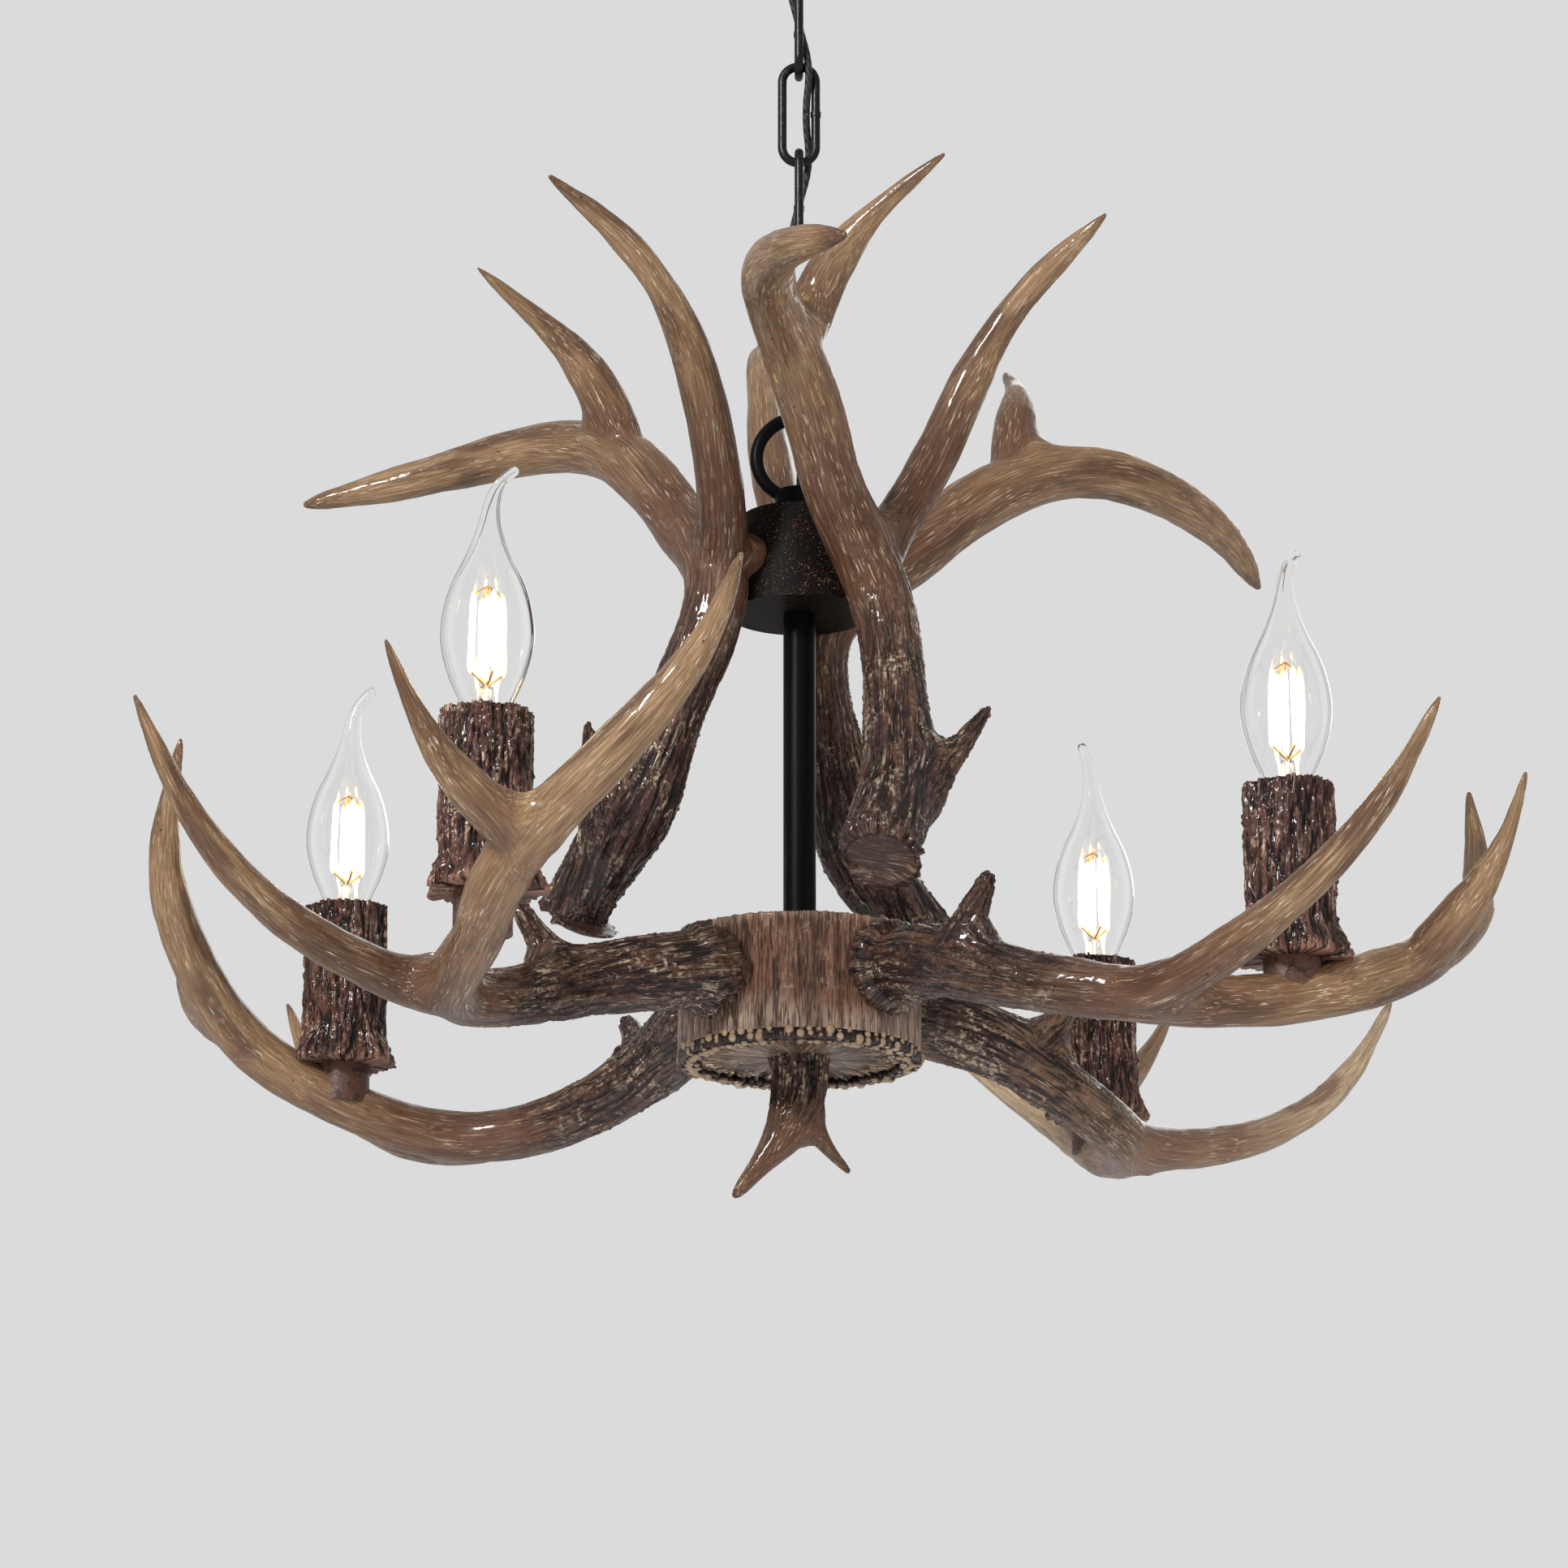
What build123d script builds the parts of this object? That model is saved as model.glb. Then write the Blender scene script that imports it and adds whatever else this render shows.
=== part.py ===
from build123d import *
import os
from math import atan2, cos, degrees, hypot, pi, radians, sin, tan

os.makedirs("parts", exist_ok=True)

# Antler chandelier, in millimetres. The origin is the middle of the ceiling face at the top of the canopy,
# +Z is up and the photographed front looks along +Y.

# ---- fits and clearances
face_gap = 0.3             # between pieces that move against each other
sliding_gap = 0.1          # radial play of a piece that is dropped into another

# ---- ceiling fitting
canopy_radius = 60.0
canopy_height = 26.0
canopy_wall = 1.6
canopy_shoulder = 14.0     # rounding of the canopy's lower edge
strap_length = 104.0
strap_width = 18.0
strap_thickness = 2.5
strap_drop = 6.0           # the bar stands this far off the ceiling on its turned-up ends
ceiling_hole_spacing = 56.0
ceiling_hole_radius = 2.4
canopy_screw_spacing = 84.0
canopy_screw_radius = 2.0
canopy_screw_head_radius = 3.6
canopy_screw_head_height = 2.0
cap_nut_radius = 4.5
cap_nut_height = 6.0

# ---- loop fittings, one under the canopy and one on the cup
loop_outer_radius = 20.0
loop_wire = 5.5
loop_sink = 5.9            # how deep the loop's foot lies in its collar
collar_radius = 10.0
collar_height = 11.8
loop_stem_radius = 4.0
loop_stem_length = 9.0     # below the collar, through the plate it clamps
stem_nut_flats = 14.0
stem_nut_height = 4.0
collar_edge = 1.5          # rounding of the collars
loop_stem_inset = 2.0      # the stem ends this far inside the collar's face
bore_overrun = 4.0         # the cord's bore runs this far past both ends of the stem
canopy_stem_gap = 1.0      # between the canopy loop's stem and the ceiling

# ---- chain
link_count = 7
link_wire = 3.7
link_length = 46.3
link_width = 17.5
weld_bulge = 0.35
weld_length = 2.6

# ---- power cord
cord_diameter = 3.0
cord_swing = 4.8           # how far it stands off the chain's line where two links meet
cord_pull = 2.4            # and where it threads through the middle of a link
cord_corner_share = 0.45   # of the shorter run that a bend may take up
cord_lead_above = 6.0      # straight stretch that ends this far above the canopy loop's middle
cord_lead_below = 5.0      # and its bend this far below it
cord_lead_side = 1.4
cord_tail_above = 4.0      # last bend above the cup loop's middle
cord_tail_below = 7.0      # and the straight stretch that starts this far below it
cord_tail_side = 1.6

# ---- cup that carries the upper antlers
cup_height = 40.5
cup_top_radius = 23.5
cup_bottom_radius = 28.4
cup_wall = 2.5
cup_plate = 3.0

# ---- middle rod and its nuts
rod_radius = 6.5
rod_bore_radius = 4.0
rod_drop = 135.0           # bare rod between the cup and the hub
rod_nut_flats = 19.0
rod_nut_height = 6.0
stud_radius = 4.0
stud_length = 14.0
stud_hole_spare = 2.0      # depth of the finial's hole past the stud's end
rod_end_rise = 3.0         # above its upper nut

# ---- hub that carries the lower antlers
hub_radius = 48.5
hub_height = 49.0
hub_wall = 3.0
hub_plate = 3.0
bead_ring_height = 4.5
bead_ring_lip = 3.0
bead_count = 44
bead_radius = 2.5
bead_ring_drop = 1.5       # the ring hangs this far below the shell's lower edge
bead_ring_inset = 1.0      # of the beads' middles from the shell's face

# ---- finial: sideways reach, reach to the back, depth below the hub's base, radius
finial_stem = [
    (0, 0, 0, 13.0), (0, 0, 12, 11.2), (-2, -1, 24, 10.6), (-11, -4, 40, 7.2), (-25, -8, 58, 2.6),
]
finial_prong = [(1, 0, 16, 8.5), (4, 1, 26, 7.6), (10, 3, 36, 5.2), (19, 6, 46, 2.2)]

# ---- wire joint inside the cup
terminal_width = 13.0
terminal_depth = 3.0       # of the cord's end below the stem that it comes through

# ---- screws that hold the antlers
screw_radius = 3.0
screw_length = 26.0        # of the screws inside the hub
cup_screw_length = 18.0
screw_head_radius = 5.5
screw_head_height = 3.5
screw_end_play = 1.0       # left free at the bottom of a screw's hole
screw_hole_overrun = 5.0

# ---- candle sleeves, lamp holders and lamps
sleeve_radius = 17.6
sleeve_bore_radius = 14.4
sleeve_height = 67.5
sleeve_floor = 4.0
sleeve_foot_radius = 23.0
sleeve_foot_height = 13.0
sleeve_foot_lip = 5.2      # height of the foot's upright edge
bark_groove_count = 15
bark_groove_radius = 2.4
bark_groove_depth = 1.6
bark_groove_lean = 2.5     # degrees, the most that a groove leans to either side
bark_groove_step = 2.4     # radians, from one groove's lean to the next
foot_notch_count = 7       # hollows between the lobes of the foot
foot_notch_radius = 4.5
foot_notch_depth = 2.6
saddle_radius = 11.0
saddle_height = 5.0
nipple_radius = 5.0
nipple_depth = 13.0        # below the sleeve, through the saddle into the antler
nipple_rise = 9.0          # above the sleeve's floor, into the lamp holder
seat_clearance = 60.0      # height kept free of the antler above the nipple's hole
holder_radius = 13.4
holder_height = 52.0
holder_bore_radius = 7.2
lamp_cap_radius = 6.95     # a 14 mm Edison screw
lamp_cap_length = 24.0
lamp_cap_sink = 2.0        # the cap's top lies this far below the sleeve's rim
lamp_cap_cone_low = 3.0    # the insulator's cone, above the contact's face
lamp_cap_cone_high = 6.0
lamp_cap_cone_radius = 3.4
lamp_contact_radius = 2.4
lamp_thread_radius = 0.63  # of the groove between two threads
lamp_thread_low = 8.0
lamp_thread_count = 5
lamp_thread_pitch = 2.82
glass_wall = 0.8
filament_count = 4
filament_radius = 0.9
filament_length = 31.0
filament_low = 16.5        # height of the filaments' feet above the lamp cap
filament_spread = 6.6
filament_spread_top = 5.6
filament_bearing = 25.0
wire_radius = 0.4
wire_join = 1.0            # the wires run this far into what they hold
support_sink = 2.0         # the middle wire's foot inside the glass stem
support_rise = 4.0         # and its top above the filaments
stem_foot_radius = 4.0
stem_radius = 2.6
stem_height = 13.0

# Lamp glass: height above the lamp cap and radius.
glass_profile = [
    (0.0, 7.6), (6.5, 10.2), (16.5, 14.4), (30.5, 17.4), (42.5, 16.2), (52.5, 13.1), (60.5, 9.3),
    (68.5, 6.0),
]
# Lamp tail: sideways reach, height above the lamp cap and radius.
glass_tail = [
    (0.0, 65.5, 6.6), (0.5, 73.5, 4.6), (1.0, 81.5, 3.0), (2.8, 87.5, 2.6), (6.0, 93.0, 2.3),
    (9.3, 96.0, 1.8),
]

# ---- antlers
# Each row is a point on the middle line of a beam or tine, and its radius there:
# distance from the chandelier's axis, distance to the left of the antler's own bearing,
# height above the hub's bottom, radius.
lower_beam = [
    (44, -3, 30, 15.4), (78, -20, 23, 14.6), (112, -31, 12, 12.6), (147, -31, 1, 11.2), (185, -19, -5, 10.6),
    (209, 8, -2, 10.0), (230, 37, 9, 10.2), (243, 65, 25, 10.2), (242, 95, 46, 9.2), (236, 120, 69, 7.8),
    (226, 135, 96, 5.6), (217, 141, 125, 1.9),
]
lower_long_tine = [
    (170, -26, -3, 8.5), (192, -26, -5, 9.2), (215, -30, -2, 8.7), (243, -37, 6, 7.7), (269, -42, 18, 6.8),
    (293, -45, 35, 5.8), (312, -47, 56, 4.6), (327, -49, 79, 1.9),
]
lower_inner_tine = [
    (241, 62, 20, 8.4), (256, 63, 31, 8.2), (272, 59, 43, 7.9), (290, 54, 63, 4.6), (302, 49, 88, 1.7),
]
lower_brow_tine = [(96, -29, 14, 9.0), (105, -34, 22, 8.6), (114, -38, 32, 6.5), (123, -41, 43, 4.3)]

upper_beam = [
    (86, -18, 60, 15.6), (73, -2, 91, 15.8), (58, 9, 123, 14.2), (45, 15, 156, 12.4), (36, 14, 188, 13.0),
    (43, -5, 212, 12.8), (57, -26, 235, 12.4), (75, -49, 259, 12.4), (100, -76, 272, 11.0),
    (138, -101, 271, 9.5), (174, -113, 264, 7.5), (212, -116, 255, 2.3),
]
upper_tall_tine = [
    (36, 12, 194, 9.5), (34, 22, 214, 10.0), (37, 36, 238, 9.3), (48, 51, 278, 8.2), (70, 65, 313, 5.8),
    (104, 80, 339, 1.9),
]
upper_short_tine = [
    (71, -46, 256, 9.0), (80, -47, 276, 9.0), (94, -43, 298, 8.3), (114, -34, 316, 4.8), (137, -21, 332, 1.6),
]
upper_brow_tine = [(78, -2, 82, 9.5), (81, 10, 97, 7.8), (84, 22, 114, 4.8), (85, 33, 129, 2.4)]

burr_swell = 2.6           # how far the burr at an antler's root stands proud
burr_length = 9.0
tip_blunt = 0.8            # length of a tine's blunt end, as a share of its radius there
tip_narrowing = 0.5        # radius of that end, as a share of the tine's
lower_burr_root = (50, -6, 29)
lower_root = (46, 0, 32)   # point that a lower antler is turned about when it is set
upper_root = (80, 0, 45)
sleeve_seat = (219, 25, 13)
upper_hold = (32, 16, 205) # middle of the upper beam where it meets the cup
boss_radius = 9.0

# How each antler is set on its mount: bearing, roll about its beam and pitch, in degrees.
lower_sets = [(232.0, 0.0, 1.0), (321.0, -7.0, -1.0), (48.0, 2.0, -1.0), (142.0, 5.0, 1.0)]
upper_sets = [(180.5, -3.5, 1.0), (302.5, 0.0, 0.0), (69.0, 4.0, -1.0)]
lamp_turns = [10.0, 50.0, 240.0, 350.0]    # bearing of each lamp's bent tail when it is screwed home

# ---- heights that follow from the sizes above
link_pitch = link_length - 2 * link_wire - face_gap
canopy_bottom = -canopy_height
canopy_loop_middle = canopy_bottom - collar_height - loop_outer_radius + loop_sink
canopy_loop_seat = canopy_loop_middle - loop_outer_radius + loop_wire
ring_seat = canopy_loop_seat - link_count * link_pitch
ring_middle = ring_seat - loop_outer_radius + loop_wire
collar_top = ring_middle - loop_outer_radius + loop_sink
cup_top = collar_top - collar_height
cup_bottom = cup_top - cup_height
hub_top = cup_bottom - rod_drop
cord_start = canopy_bottom + canopy_height / 2
cord_end = cup_top - loop_stem_length - terminal_depth
hub_bottom = hub_top - hub_height
base_low = hub_bottom + bead_ring_height - bead_ring_drop
base_high = base_low + hub_plate
rod_top = cup_bottom + cup_plate + rod_nut_height + rod_end_rise
filament_high = filament_low + filament_length
strap_top = -strap_drop
strap_low = strap_top - strap_thickness


standing = (Align.CENTER, Align.CENTER, Align.MIN)    # a shape's origin is the middle of its base


def save(piece, node):
    piece.label = node
    export_step(piece, f"parts/{node}.step")
    return piece


def upright(radius, low, high, x=0.0, y=0.0):
    return Pos(x, y, low) * Cylinder(radius, high - low, align=standing)


def upright_box(length, width, low, high):
    return Pos(0, 0, low) * Box(length, width, high - low, align=standing)


def bar(start, end, radius):
    along = Vector(*end) - Vector(*start)
    return extrude(Plane(origin=start, z_dir=along) * Circle(radius), along.length)


def hex_nut(flats, bore, low, high):
    outline = RegularPolygon(flats / 2, 6, major_radius=False) - Circle(bore)
    return Pos(0, 0, low) * extrude(outline, high - low)


# ---------------------------------------------------------------- antlers

def tine(stations):
    # A smooth limb through circles that stand square to the line of stations, with a blunt end.
    points = [Vector(*row[:3]) for row in stations]
    radii = [row[3] for row in stations]
    last = points[-1] - points[-2]
    points.append(points[-1] + last.normalized() * (radii[-1] * tip_blunt))
    radii.append(radii[-1] * tip_narrowing)
    side = Vector(0, 1, 0)
    sections = []
    for i, point in enumerate(points):
        before = points[max(i - 1, 0)]
        after = points[min(i + 1, len(points) - 1)]
        along = (after - before).normalized()
        side = (side - along * side.dot(along)).normalized()
        sections.append(Plane(origin=point, x_dir=side, z_dir=along) * Circle(radii[i]))
    return loft(sections)


def burr(stations):
    # The coronet at the root, a rounded collar square to the beam.
    root = Vector(*stations[0][:3])
    along = (Vector(*stations[1][:3]) - root).normalized()
    ring = Cylinder(stations[0][3] + burr_swell, burr_length, align=standing)
    ring = fillet(ring.edges().filter_by(GeomType.CIRCLE), burr_length / 3)
    return Plane(origin=root, z_dir=along) * ring


def setting(spec, root):
    bearing, roll, pitch = spec
    turned = Pos(*root) * Rot(Y=-pitch) * Rot(X=roll) * Pos(*(-c for c in root))
    return Pos(0, 0, hub_bottom) * Rot(Z=bearing) * turned


def spot(place, point):
    return (place * Pos(*point)).position


def radial_rod(through, radius, start, stop):
    # A round bar that lies level and points from the axis through the given point.
    bearing = degrees(atan2(through.Y, through.X))
    rod = Cylinder(radius, stop - start, align=standing)
    return Pos(0, 0, through.Z) * Rot(Z=bearing) * Pos(start, 0, 0) * Rot(Y=90) * rod


def cup_radius_at(height):
    share = (height - cup_bottom) / cup_height
    return cup_bottom_radius + (cup_top_radius - cup_bottom_radius) * share


def cup_body(inset=0.0):
    cone = Cone(cup_bottom_radius - inset, cup_top_radius - inset, cup_height, align=standing)
    return Pos(0, 0, cup_bottom) * cone


lower_places = [setting(spec, lower_root) for spec in lower_sets]
upper_places = [setting(spec, upper_root) for spec in upper_sets]
lower_roots = [spot(place, lower_beam[0][:3]) for place in lower_places]
upper_holds = [spot(place, upper_hold) for place in upper_places]
seats = [spot(place, sleeve_seat) for place in lower_places]

lower_mould = tine(lower_beam) + tine(lower_long_tine) + tine(lower_inner_tine) + tine(lower_brow_tine)
lower_mould = lower_mould + burr([(*lower_burr_root, lower_beam[0][3]), lower_beam[1]])
upper_mould = tine(upper_beam) + tine(upper_tall_tine) + tine(upper_short_tine) + tine(upper_brow_tine)
upper_mould = upper_mould + burr(upper_beam)

hub_cylinder = upright(hub_radius, hub_bottom - hub_height, hub_top + hub_height)


def lower_antler(index):
    body = lower_places[index] * lower_mould - hub_cylinder
    root = lower_roots[index]
    body = body - radial_rod(root, screw_radius + sliding_gap, 0, hub_radius - hub_wall + screw_length)
    seat = seats[index]
    hole_top = seat.Z + seat_clearance
    body = body - upright(nipple_radius + sliding_gap, seat.Z - nipple_depth, hole_top, seat.X, seat.Y)
    return body.solids().sort_by(SortBy.VOLUME)[-1]


def upper_antler(index):
    hold = upper_holds[index]
    boss = radial_rod(hold, boss_radius, 0, hypot(hold.X, hold.Y))
    body = upper_places[index] * upper_mould + boss - cup_body()
    hole_end = cup_radius_at(hold.Z) - cup_wall + cup_screw_length
    hole = radial_rod(hold, screw_radius + sliding_gap, 0, hole_end)
    body = body - hole
    return body.solids().sort_by(SortBy.VOLUME)[-1]


lower_antlers = [save(lower_antler(i), f"antler_lower_{i + 1}") for i in range(len(lower_sets))]
upper_antlers = [save(upper_antler(i), f"antler_upper_{i + 1}") for i in range(len(upper_sets))]


def chord(radius):
    # How far from the axis a screw's flat head comes to bear inside a round wall of this radius.
    return (radius ** 2 - screw_head_radius ** 2) ** 0.5


def radial_screw(through, wall_inside, length):
    # Its head bears against the inside of the wall that it passes through.
    shank = radial_rod(through, screw_radius, wall_inside, wall_inside + length - screw_end_play)
    head = radial_rod(through, screw_head_radius, wall_inside - screw_head_height, wall_inside)
    return shank + head


def screw_hole(through, wall_outside):
    return radial_rod(through, screw_radius + sliding_gap, 0, wall_outside + screw_hole_overrun)


# ---------------------------------------------------------------- hub, rod, cup and finial

def hub_shell():
    shell = upright(hub_radius, base_low, hub_top) - upright(hub_radius - hub_wall, base_low, hub_top)
    for root in lower_roots:
        shell = shell - screw_hole(root, hub_radius)
    return shell


def hub_disc(low):
    edge = hub_radius - hub_wall - sliding_gap
    return upright(edge, low, low + hub_plate)


def bead_ring():
    # A flat ring under the shell with a row of beads round its edge.
    low = hub_bottom - bead_ring_drop
    middle = hub_radius - bead_ring_inset
    outline = Circle(middle) + PolarLocations(middle, bead_count) * Circle(bead_radius)
    outline = outline - Circle(hub_radius - hub_wall - bead_ring_lip)
    return Pos(0, 0, low) * extrude(outline, bead_ring_height)


def centre_rod():
    rod = upright(rod_radius, base_high, rod_top)
    rod = rod - upright(rod_bore_radius, base_high + rod_nut_height, rod_top)
    return rod + upright(stud_radius, base_high - stud_length, base_high)


def rod_nuts():
    lows = [cup_bottom + cup_plate, hub_top - hub_plate - rod_nut_height, base_high]
    nuts = [hex_nut(rod_nut_flats, rod_radius + sliding_gap / 2, low, low + rod_nut_height) for low in lows]
    stem_low = cup_top - cup_plate - stem_nut_height
    nuts.append(hex_nut(stem_nut_flats, loop_stem_radius + sliding_gap / 2, stem_low, cup_top - cup_plate))
    return Compound(children=[nut.solid() for nut in nuts])


def terminal_block():
    # Stands on the rod's upper end and takes the cord's end.
    return upright_box(terminal_width, terminal_width, rod_top, cord_end)


def upper_cup():
    inside = cup_body(cup_wall) & upright(canopy_radius, cup_bottom, cup_top - cup_plate)
    cup = cup_body() - inside - upright(loop_stem_radius + sliding_gap, cup_bottom, cup_top)
    for hold in upper_holds:
        cup = cup - screw_hole(hold, cup_radius_at(hold.Z))
    return cup


def cup_base_plate():
    plate = cup_body(cup_wall + sliding_gap) & upright(canopy_radius, cup_bottom, cup_bottom + cup_plate)
    return plate - upright(rod_radius + sliding_gap / 2, cup_bottom, cup_top)


def finial():
    # A small forked antler tip hung under the hub.
    stem, prong = [[(x, y, base_low - depth, radius) for x, y, depth, radius in rows]
                   for rows in (finial_stem, finial_prong)]
    hole_low = base_high - stud_length - stud_hole_spare
    return tine(stem) + tine(prong) - upright(stud_radius + sliding_gap / 2, hole_low, base_high)


save(hub_shell(), "hub_shell")
save(hub_disc(hub_top - hub_plate) - upright(rod_radius + sliding_gap / 2, hub_bottom, hub_top), "hub_lid")
save(hub_disc(base_low) - upright(stud_radius + sliding_gap / 2, hub_bottom, hub_top), "hub_base")
save(bead_ring(), "hub_bead_ring")
save(centre_rod(), "centre_rod")
save(rod_nuts(), "rod_nuts")
save(terminal_block(), "terminal_block")
save(upper_cup(), "upper_cup")
save(cup_base_plate(), "cup_base_plate")
save(finial(), "finial")
hub_screws = [radial_screw(root, chord(hub_radius - hub_wall), screw_length) for root in lower_roots]
save(Compound(children=[s.solid() for s in hub_screws]), "lower_antler_screws")
cup_walls = [cup_radius_at(hold.Z + screw_head_radius) - cup_wall for hold in upper_holds]
cup_screws = [radial_screw(hold, chord(wall), cup_screw_length)
              for hold, wall in zip(upper_holds, cup_walls)]
save(Compound(children=[s.solid() for s in cup_screws]), "upper_antler_screws")


# ---------------------------------------------------------------- candle sleeves and lamps

def bark_hollows():
    # Upright grooves round the sleeve, each leaning a little its own way, and notches between
    # the lobes of its foot.
    bark_reach = sleeve_radius + bark_groove_radius - bark_groove_depth
    foot_reach = sleeve_foot_radius + foot_notch_radius - foot_notch_depth
    middle = (sleeve_foot_height + sleeve_height) / 2
    hollows = []
    for number, place in enumerate(PolarLocations(bark_reach, bark_groove_count)):
        lean = bark_groove_lean * sin(number * bark_groove_step)
        groove = upright(bark_groove_radius, sleeve_foot_height - middle, sleeve_height)
        hollows.append(place * Pos(0, 0, middle) * Rot(X=lean) * groove)
    for place in PolarLocations(foot_reach, foot_notch_count):
        hollows.append(place * upright(foot_notch_radius, 0, sleeve_foot_height))
    return hollows


def sleeve(index):
    # A tube with a flared foot, hollowed where the antler rises into it.
    seat = seats[index]
    low = seat.Z + saddle_height
    side = [(sleeve_foot_radius, 0), (sleeve_foot_radius, sleeve_foot_lip),
            (sleeve_radius, sleeve_foot_height), (sleeve_radius, sleeve_height)]
    outline = [(nipple_radius + sliding_gap, 0)] + side + [(sleeve_bore_radius, sleeve_height)]
    outline = outline + [(sleeve_bore_radius, sleeve_floor), (nipple_radius + sliding_gap, sleeve_floor)]
    face = Plane.XZ * make_face(Polyline(*outline, close=True))
    bark = revolve(face, Axis.Z) - bark_hollows()
    body = Pos(seat.X, seat.Y, low) * Rot(Z=lower_sets[index][0]) * bark - lower_antlers[index]
    return body.solids().sort_by(SortBy.VOLUME)[-1]


def saddle(index):
    seat = seats[index]
    block = upright(saddle_radius, seat.Z - saddle_radius, seat.Z + saddle_height, seat.X, seat.Y)
    hole_low, hole_high = seat.Z - nipple_depth, seat.Z + nipple_depth
    block = block - upright(nipple_radius + sliding_gap, hole_low, hole_high, seat.X, seat.Y)
    block = block - lower_antlers[index]
    return block.solids().sort_by(Axis.Z)[-1]


def nipple(seat):
    floor = seat.Z + saddle_height + sleeve_floor
    return upright(nipple_radius, seat.Z - nipple_depth, floor + nipple_rise, seat.X, seat.Y)


def cap_top(seat):
    # Each lamp is measured from the top of its cap.
    return seat.Z + saddle_height + sleeve_height - lamp_cap_sink


def lamp_holder(seat):
    low = seat.Z + saddle_height + sleeve_floor
    body = upright(holder_radius, low, low + holder_height, seat.X, seat.Y)
    cap_low = cap_top(seat) - lamp_cap_length - face_gap
    body = body - upright(holder_bore_radius, cap_low, low + holder_height, seat.X, seat.Y)
    return body - upright(nipple_radius + sliding_gap, low, low + nipple_rise, seat.X, seat.Y)


def lamp_cap(seat):
    # A screw shell with rounded threads, an insulator and its contact.
    top = cap_top(seat)
    low = top - lamp_cap_length
    cone_height = lamp_cap_cone_high - lamp_cap_cone_low
    insulator = Cone(lamp_cap_cone_radius, lamp_cap_radius, cone_height, align=standing)
    cap = upright(lamp_cap_radius, low + lamp_cap_cone_high, top)
    cap = cap + Pos(0, 0, low + lamp_cap_cone_low) * insulator
    cap = cap + upright(lamp_contact_radius, low, low + lamp_cap_cone_low)
    for turn in range(lamp_thread_count):
        groove = Torus(lamp_cap_radius, lamp_thread_radius)
        cap = cap - Pos(0, 0, low + lamp_thread_low + turn * lamp_thread_pitch) * groove
    return Pos(seat.X, seat.Y, 0) * cap


def glass_section(inset):
    rows = [(radius - inset, height) for height, radius in glass_profile]
    side = Spline(*rows)
    low = glass_profile[0][1] - inset, glass_profile[0][0]
    high = glass_profile[-1][1] - inset, glass_profile[-1][0]
    edges = [side, Line(high, (0, high[1])), Line((0, high[1]), (0, low[1])), Line((0, low[1]), low)]
    return Plane.XZ * make_face(edges)


def lamp_glass(seat, bearing):
    bulb = revolve(glass_section(0), Axis.Z)
    bulb = bulb + tine([(x, 0, height, radius) for x, height, radius in glass_tail])
    bulb = bulb - revolve(glass_section(glass_wall), Axis.Z)
    return Pos(seat.X, seat.Y, cap_top(seat)) * Rot(Z=bearing) * bulb


def lamp_filaments(seat):
    # A glass stem, upright filaments round it and the wires that join them to it at both ends.
    bundle = Cone(stem_foot_radius, stem_radius, stem_height, align=standing)
    bundle = bundle + upright(wire_radius, stem_height - support_sink, filament_high + support_rise)
    low_end = (filament_spread, 0, filament_low + wire_join)
    high_end = (filament_spread_top, 0, filament_high - wire_join)
    lean = degrees(atan2(filament_spread_top - filament_spread, filament_length))
    for turn in PolarLocations(0, filament_count):
        stick = Rot(Y=lean) * upright(filament_radius, 0, filament_length)
        stick = Pos(filament_spread, 0, filament_low) * stick
        low_wire = bar((0, 0, stem_height - wire_join), low_end, wire_radius)
        high_wire = bar(high_end, (0, 0, filament_high + support_rise - wire_join), wire_radius)
        bundle = bundle + turn * (stick + low_wire + high_wire)
    return Pos(seat.X, seat.Y, cap_top(seat)) * Rot(Z=filament_bearing) * bundle


for number, seat in enumerate(seats, start=1):
    save(sleeve(number - 1), f"candle_sleeve_{number}")
    save(lamp_holder(seat), f"lamp_holder_{number}")
    save(lamp_cap(seat), f"lamp_cap_{number}")
    save(lamp_glass(seat, lamp_turns[number - 1]), f"lamp_glass_{number}")
    save(lamp_filaments(seat), f"lamp_filaments_{number}")
save(Compound(children=[saddle(i) for i in range(len(seats))]), "sleeve_saddles")
save(Compound(children=[nipple(seat).solid() for seat in seats]), "sleeve_nipples")


# ---------------------------------------------------------------- loop fittings

def loop_fitting(collar_face, loop_middle, up, stem_length):
    # A ring whose foot is sunk in a collar; a hollow stem runs on through the plate that it clamps.
    ring = Pos(0, 0, loop_middle) * Rot(X=90) * Torus(loop_outer_radius - loop_wire / 2, loop_wire / 2)
    foot = collar_face + up * collar_height
    ends = sorted([foot - up * loop_stem_inset, collar_face - up * stem_length])
    stem = upright(loop_stem_radius, ends[0], ends[1])
    bore = upright(cord_diameter / 2 + sliding_gap, ends[0] - bore_overrun, ends[1] + bore_overrun)
    return ring + stem - bore


def loop_collar(collar_face, loop_middle, up):
    ends = sorted([collar_face, collar_face + up * collar_height])
    collar = upright(collar_radius, ends[0], ends[1])
    collar = fillet(collar.edges().filter_by(GeomType.CIRCLE), collar_edge)
    ring = Pos(0, 0, loop_middle) * Rot(X=90) * Torus(loop_outer_radius - loop_wire / 2, loop_wire / 2)
    stem = upright(loop_stem_radius, ends[0], ends[1])
    return (collar - ring - stem).solids().sort_by(SortBy.VOLUME)[-1]


save(loop_fitting(cup_top, ring_middle, 1, loop_stem_length), "top_loop")
save(loop_collar(cup_top, ring_middle, 1), "top_loop_collar")
save(loop_fitting(canopy_bottom, canopy_loop_middle, -1, canopy_height - canopy_stem_gap), "canopy_loop")
save(loop_collar(canopy_bottom, canopy_loop_middle, -1), "canopy_loop_collar")


# ---------------------------------------------------------------- chain and cord

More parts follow.
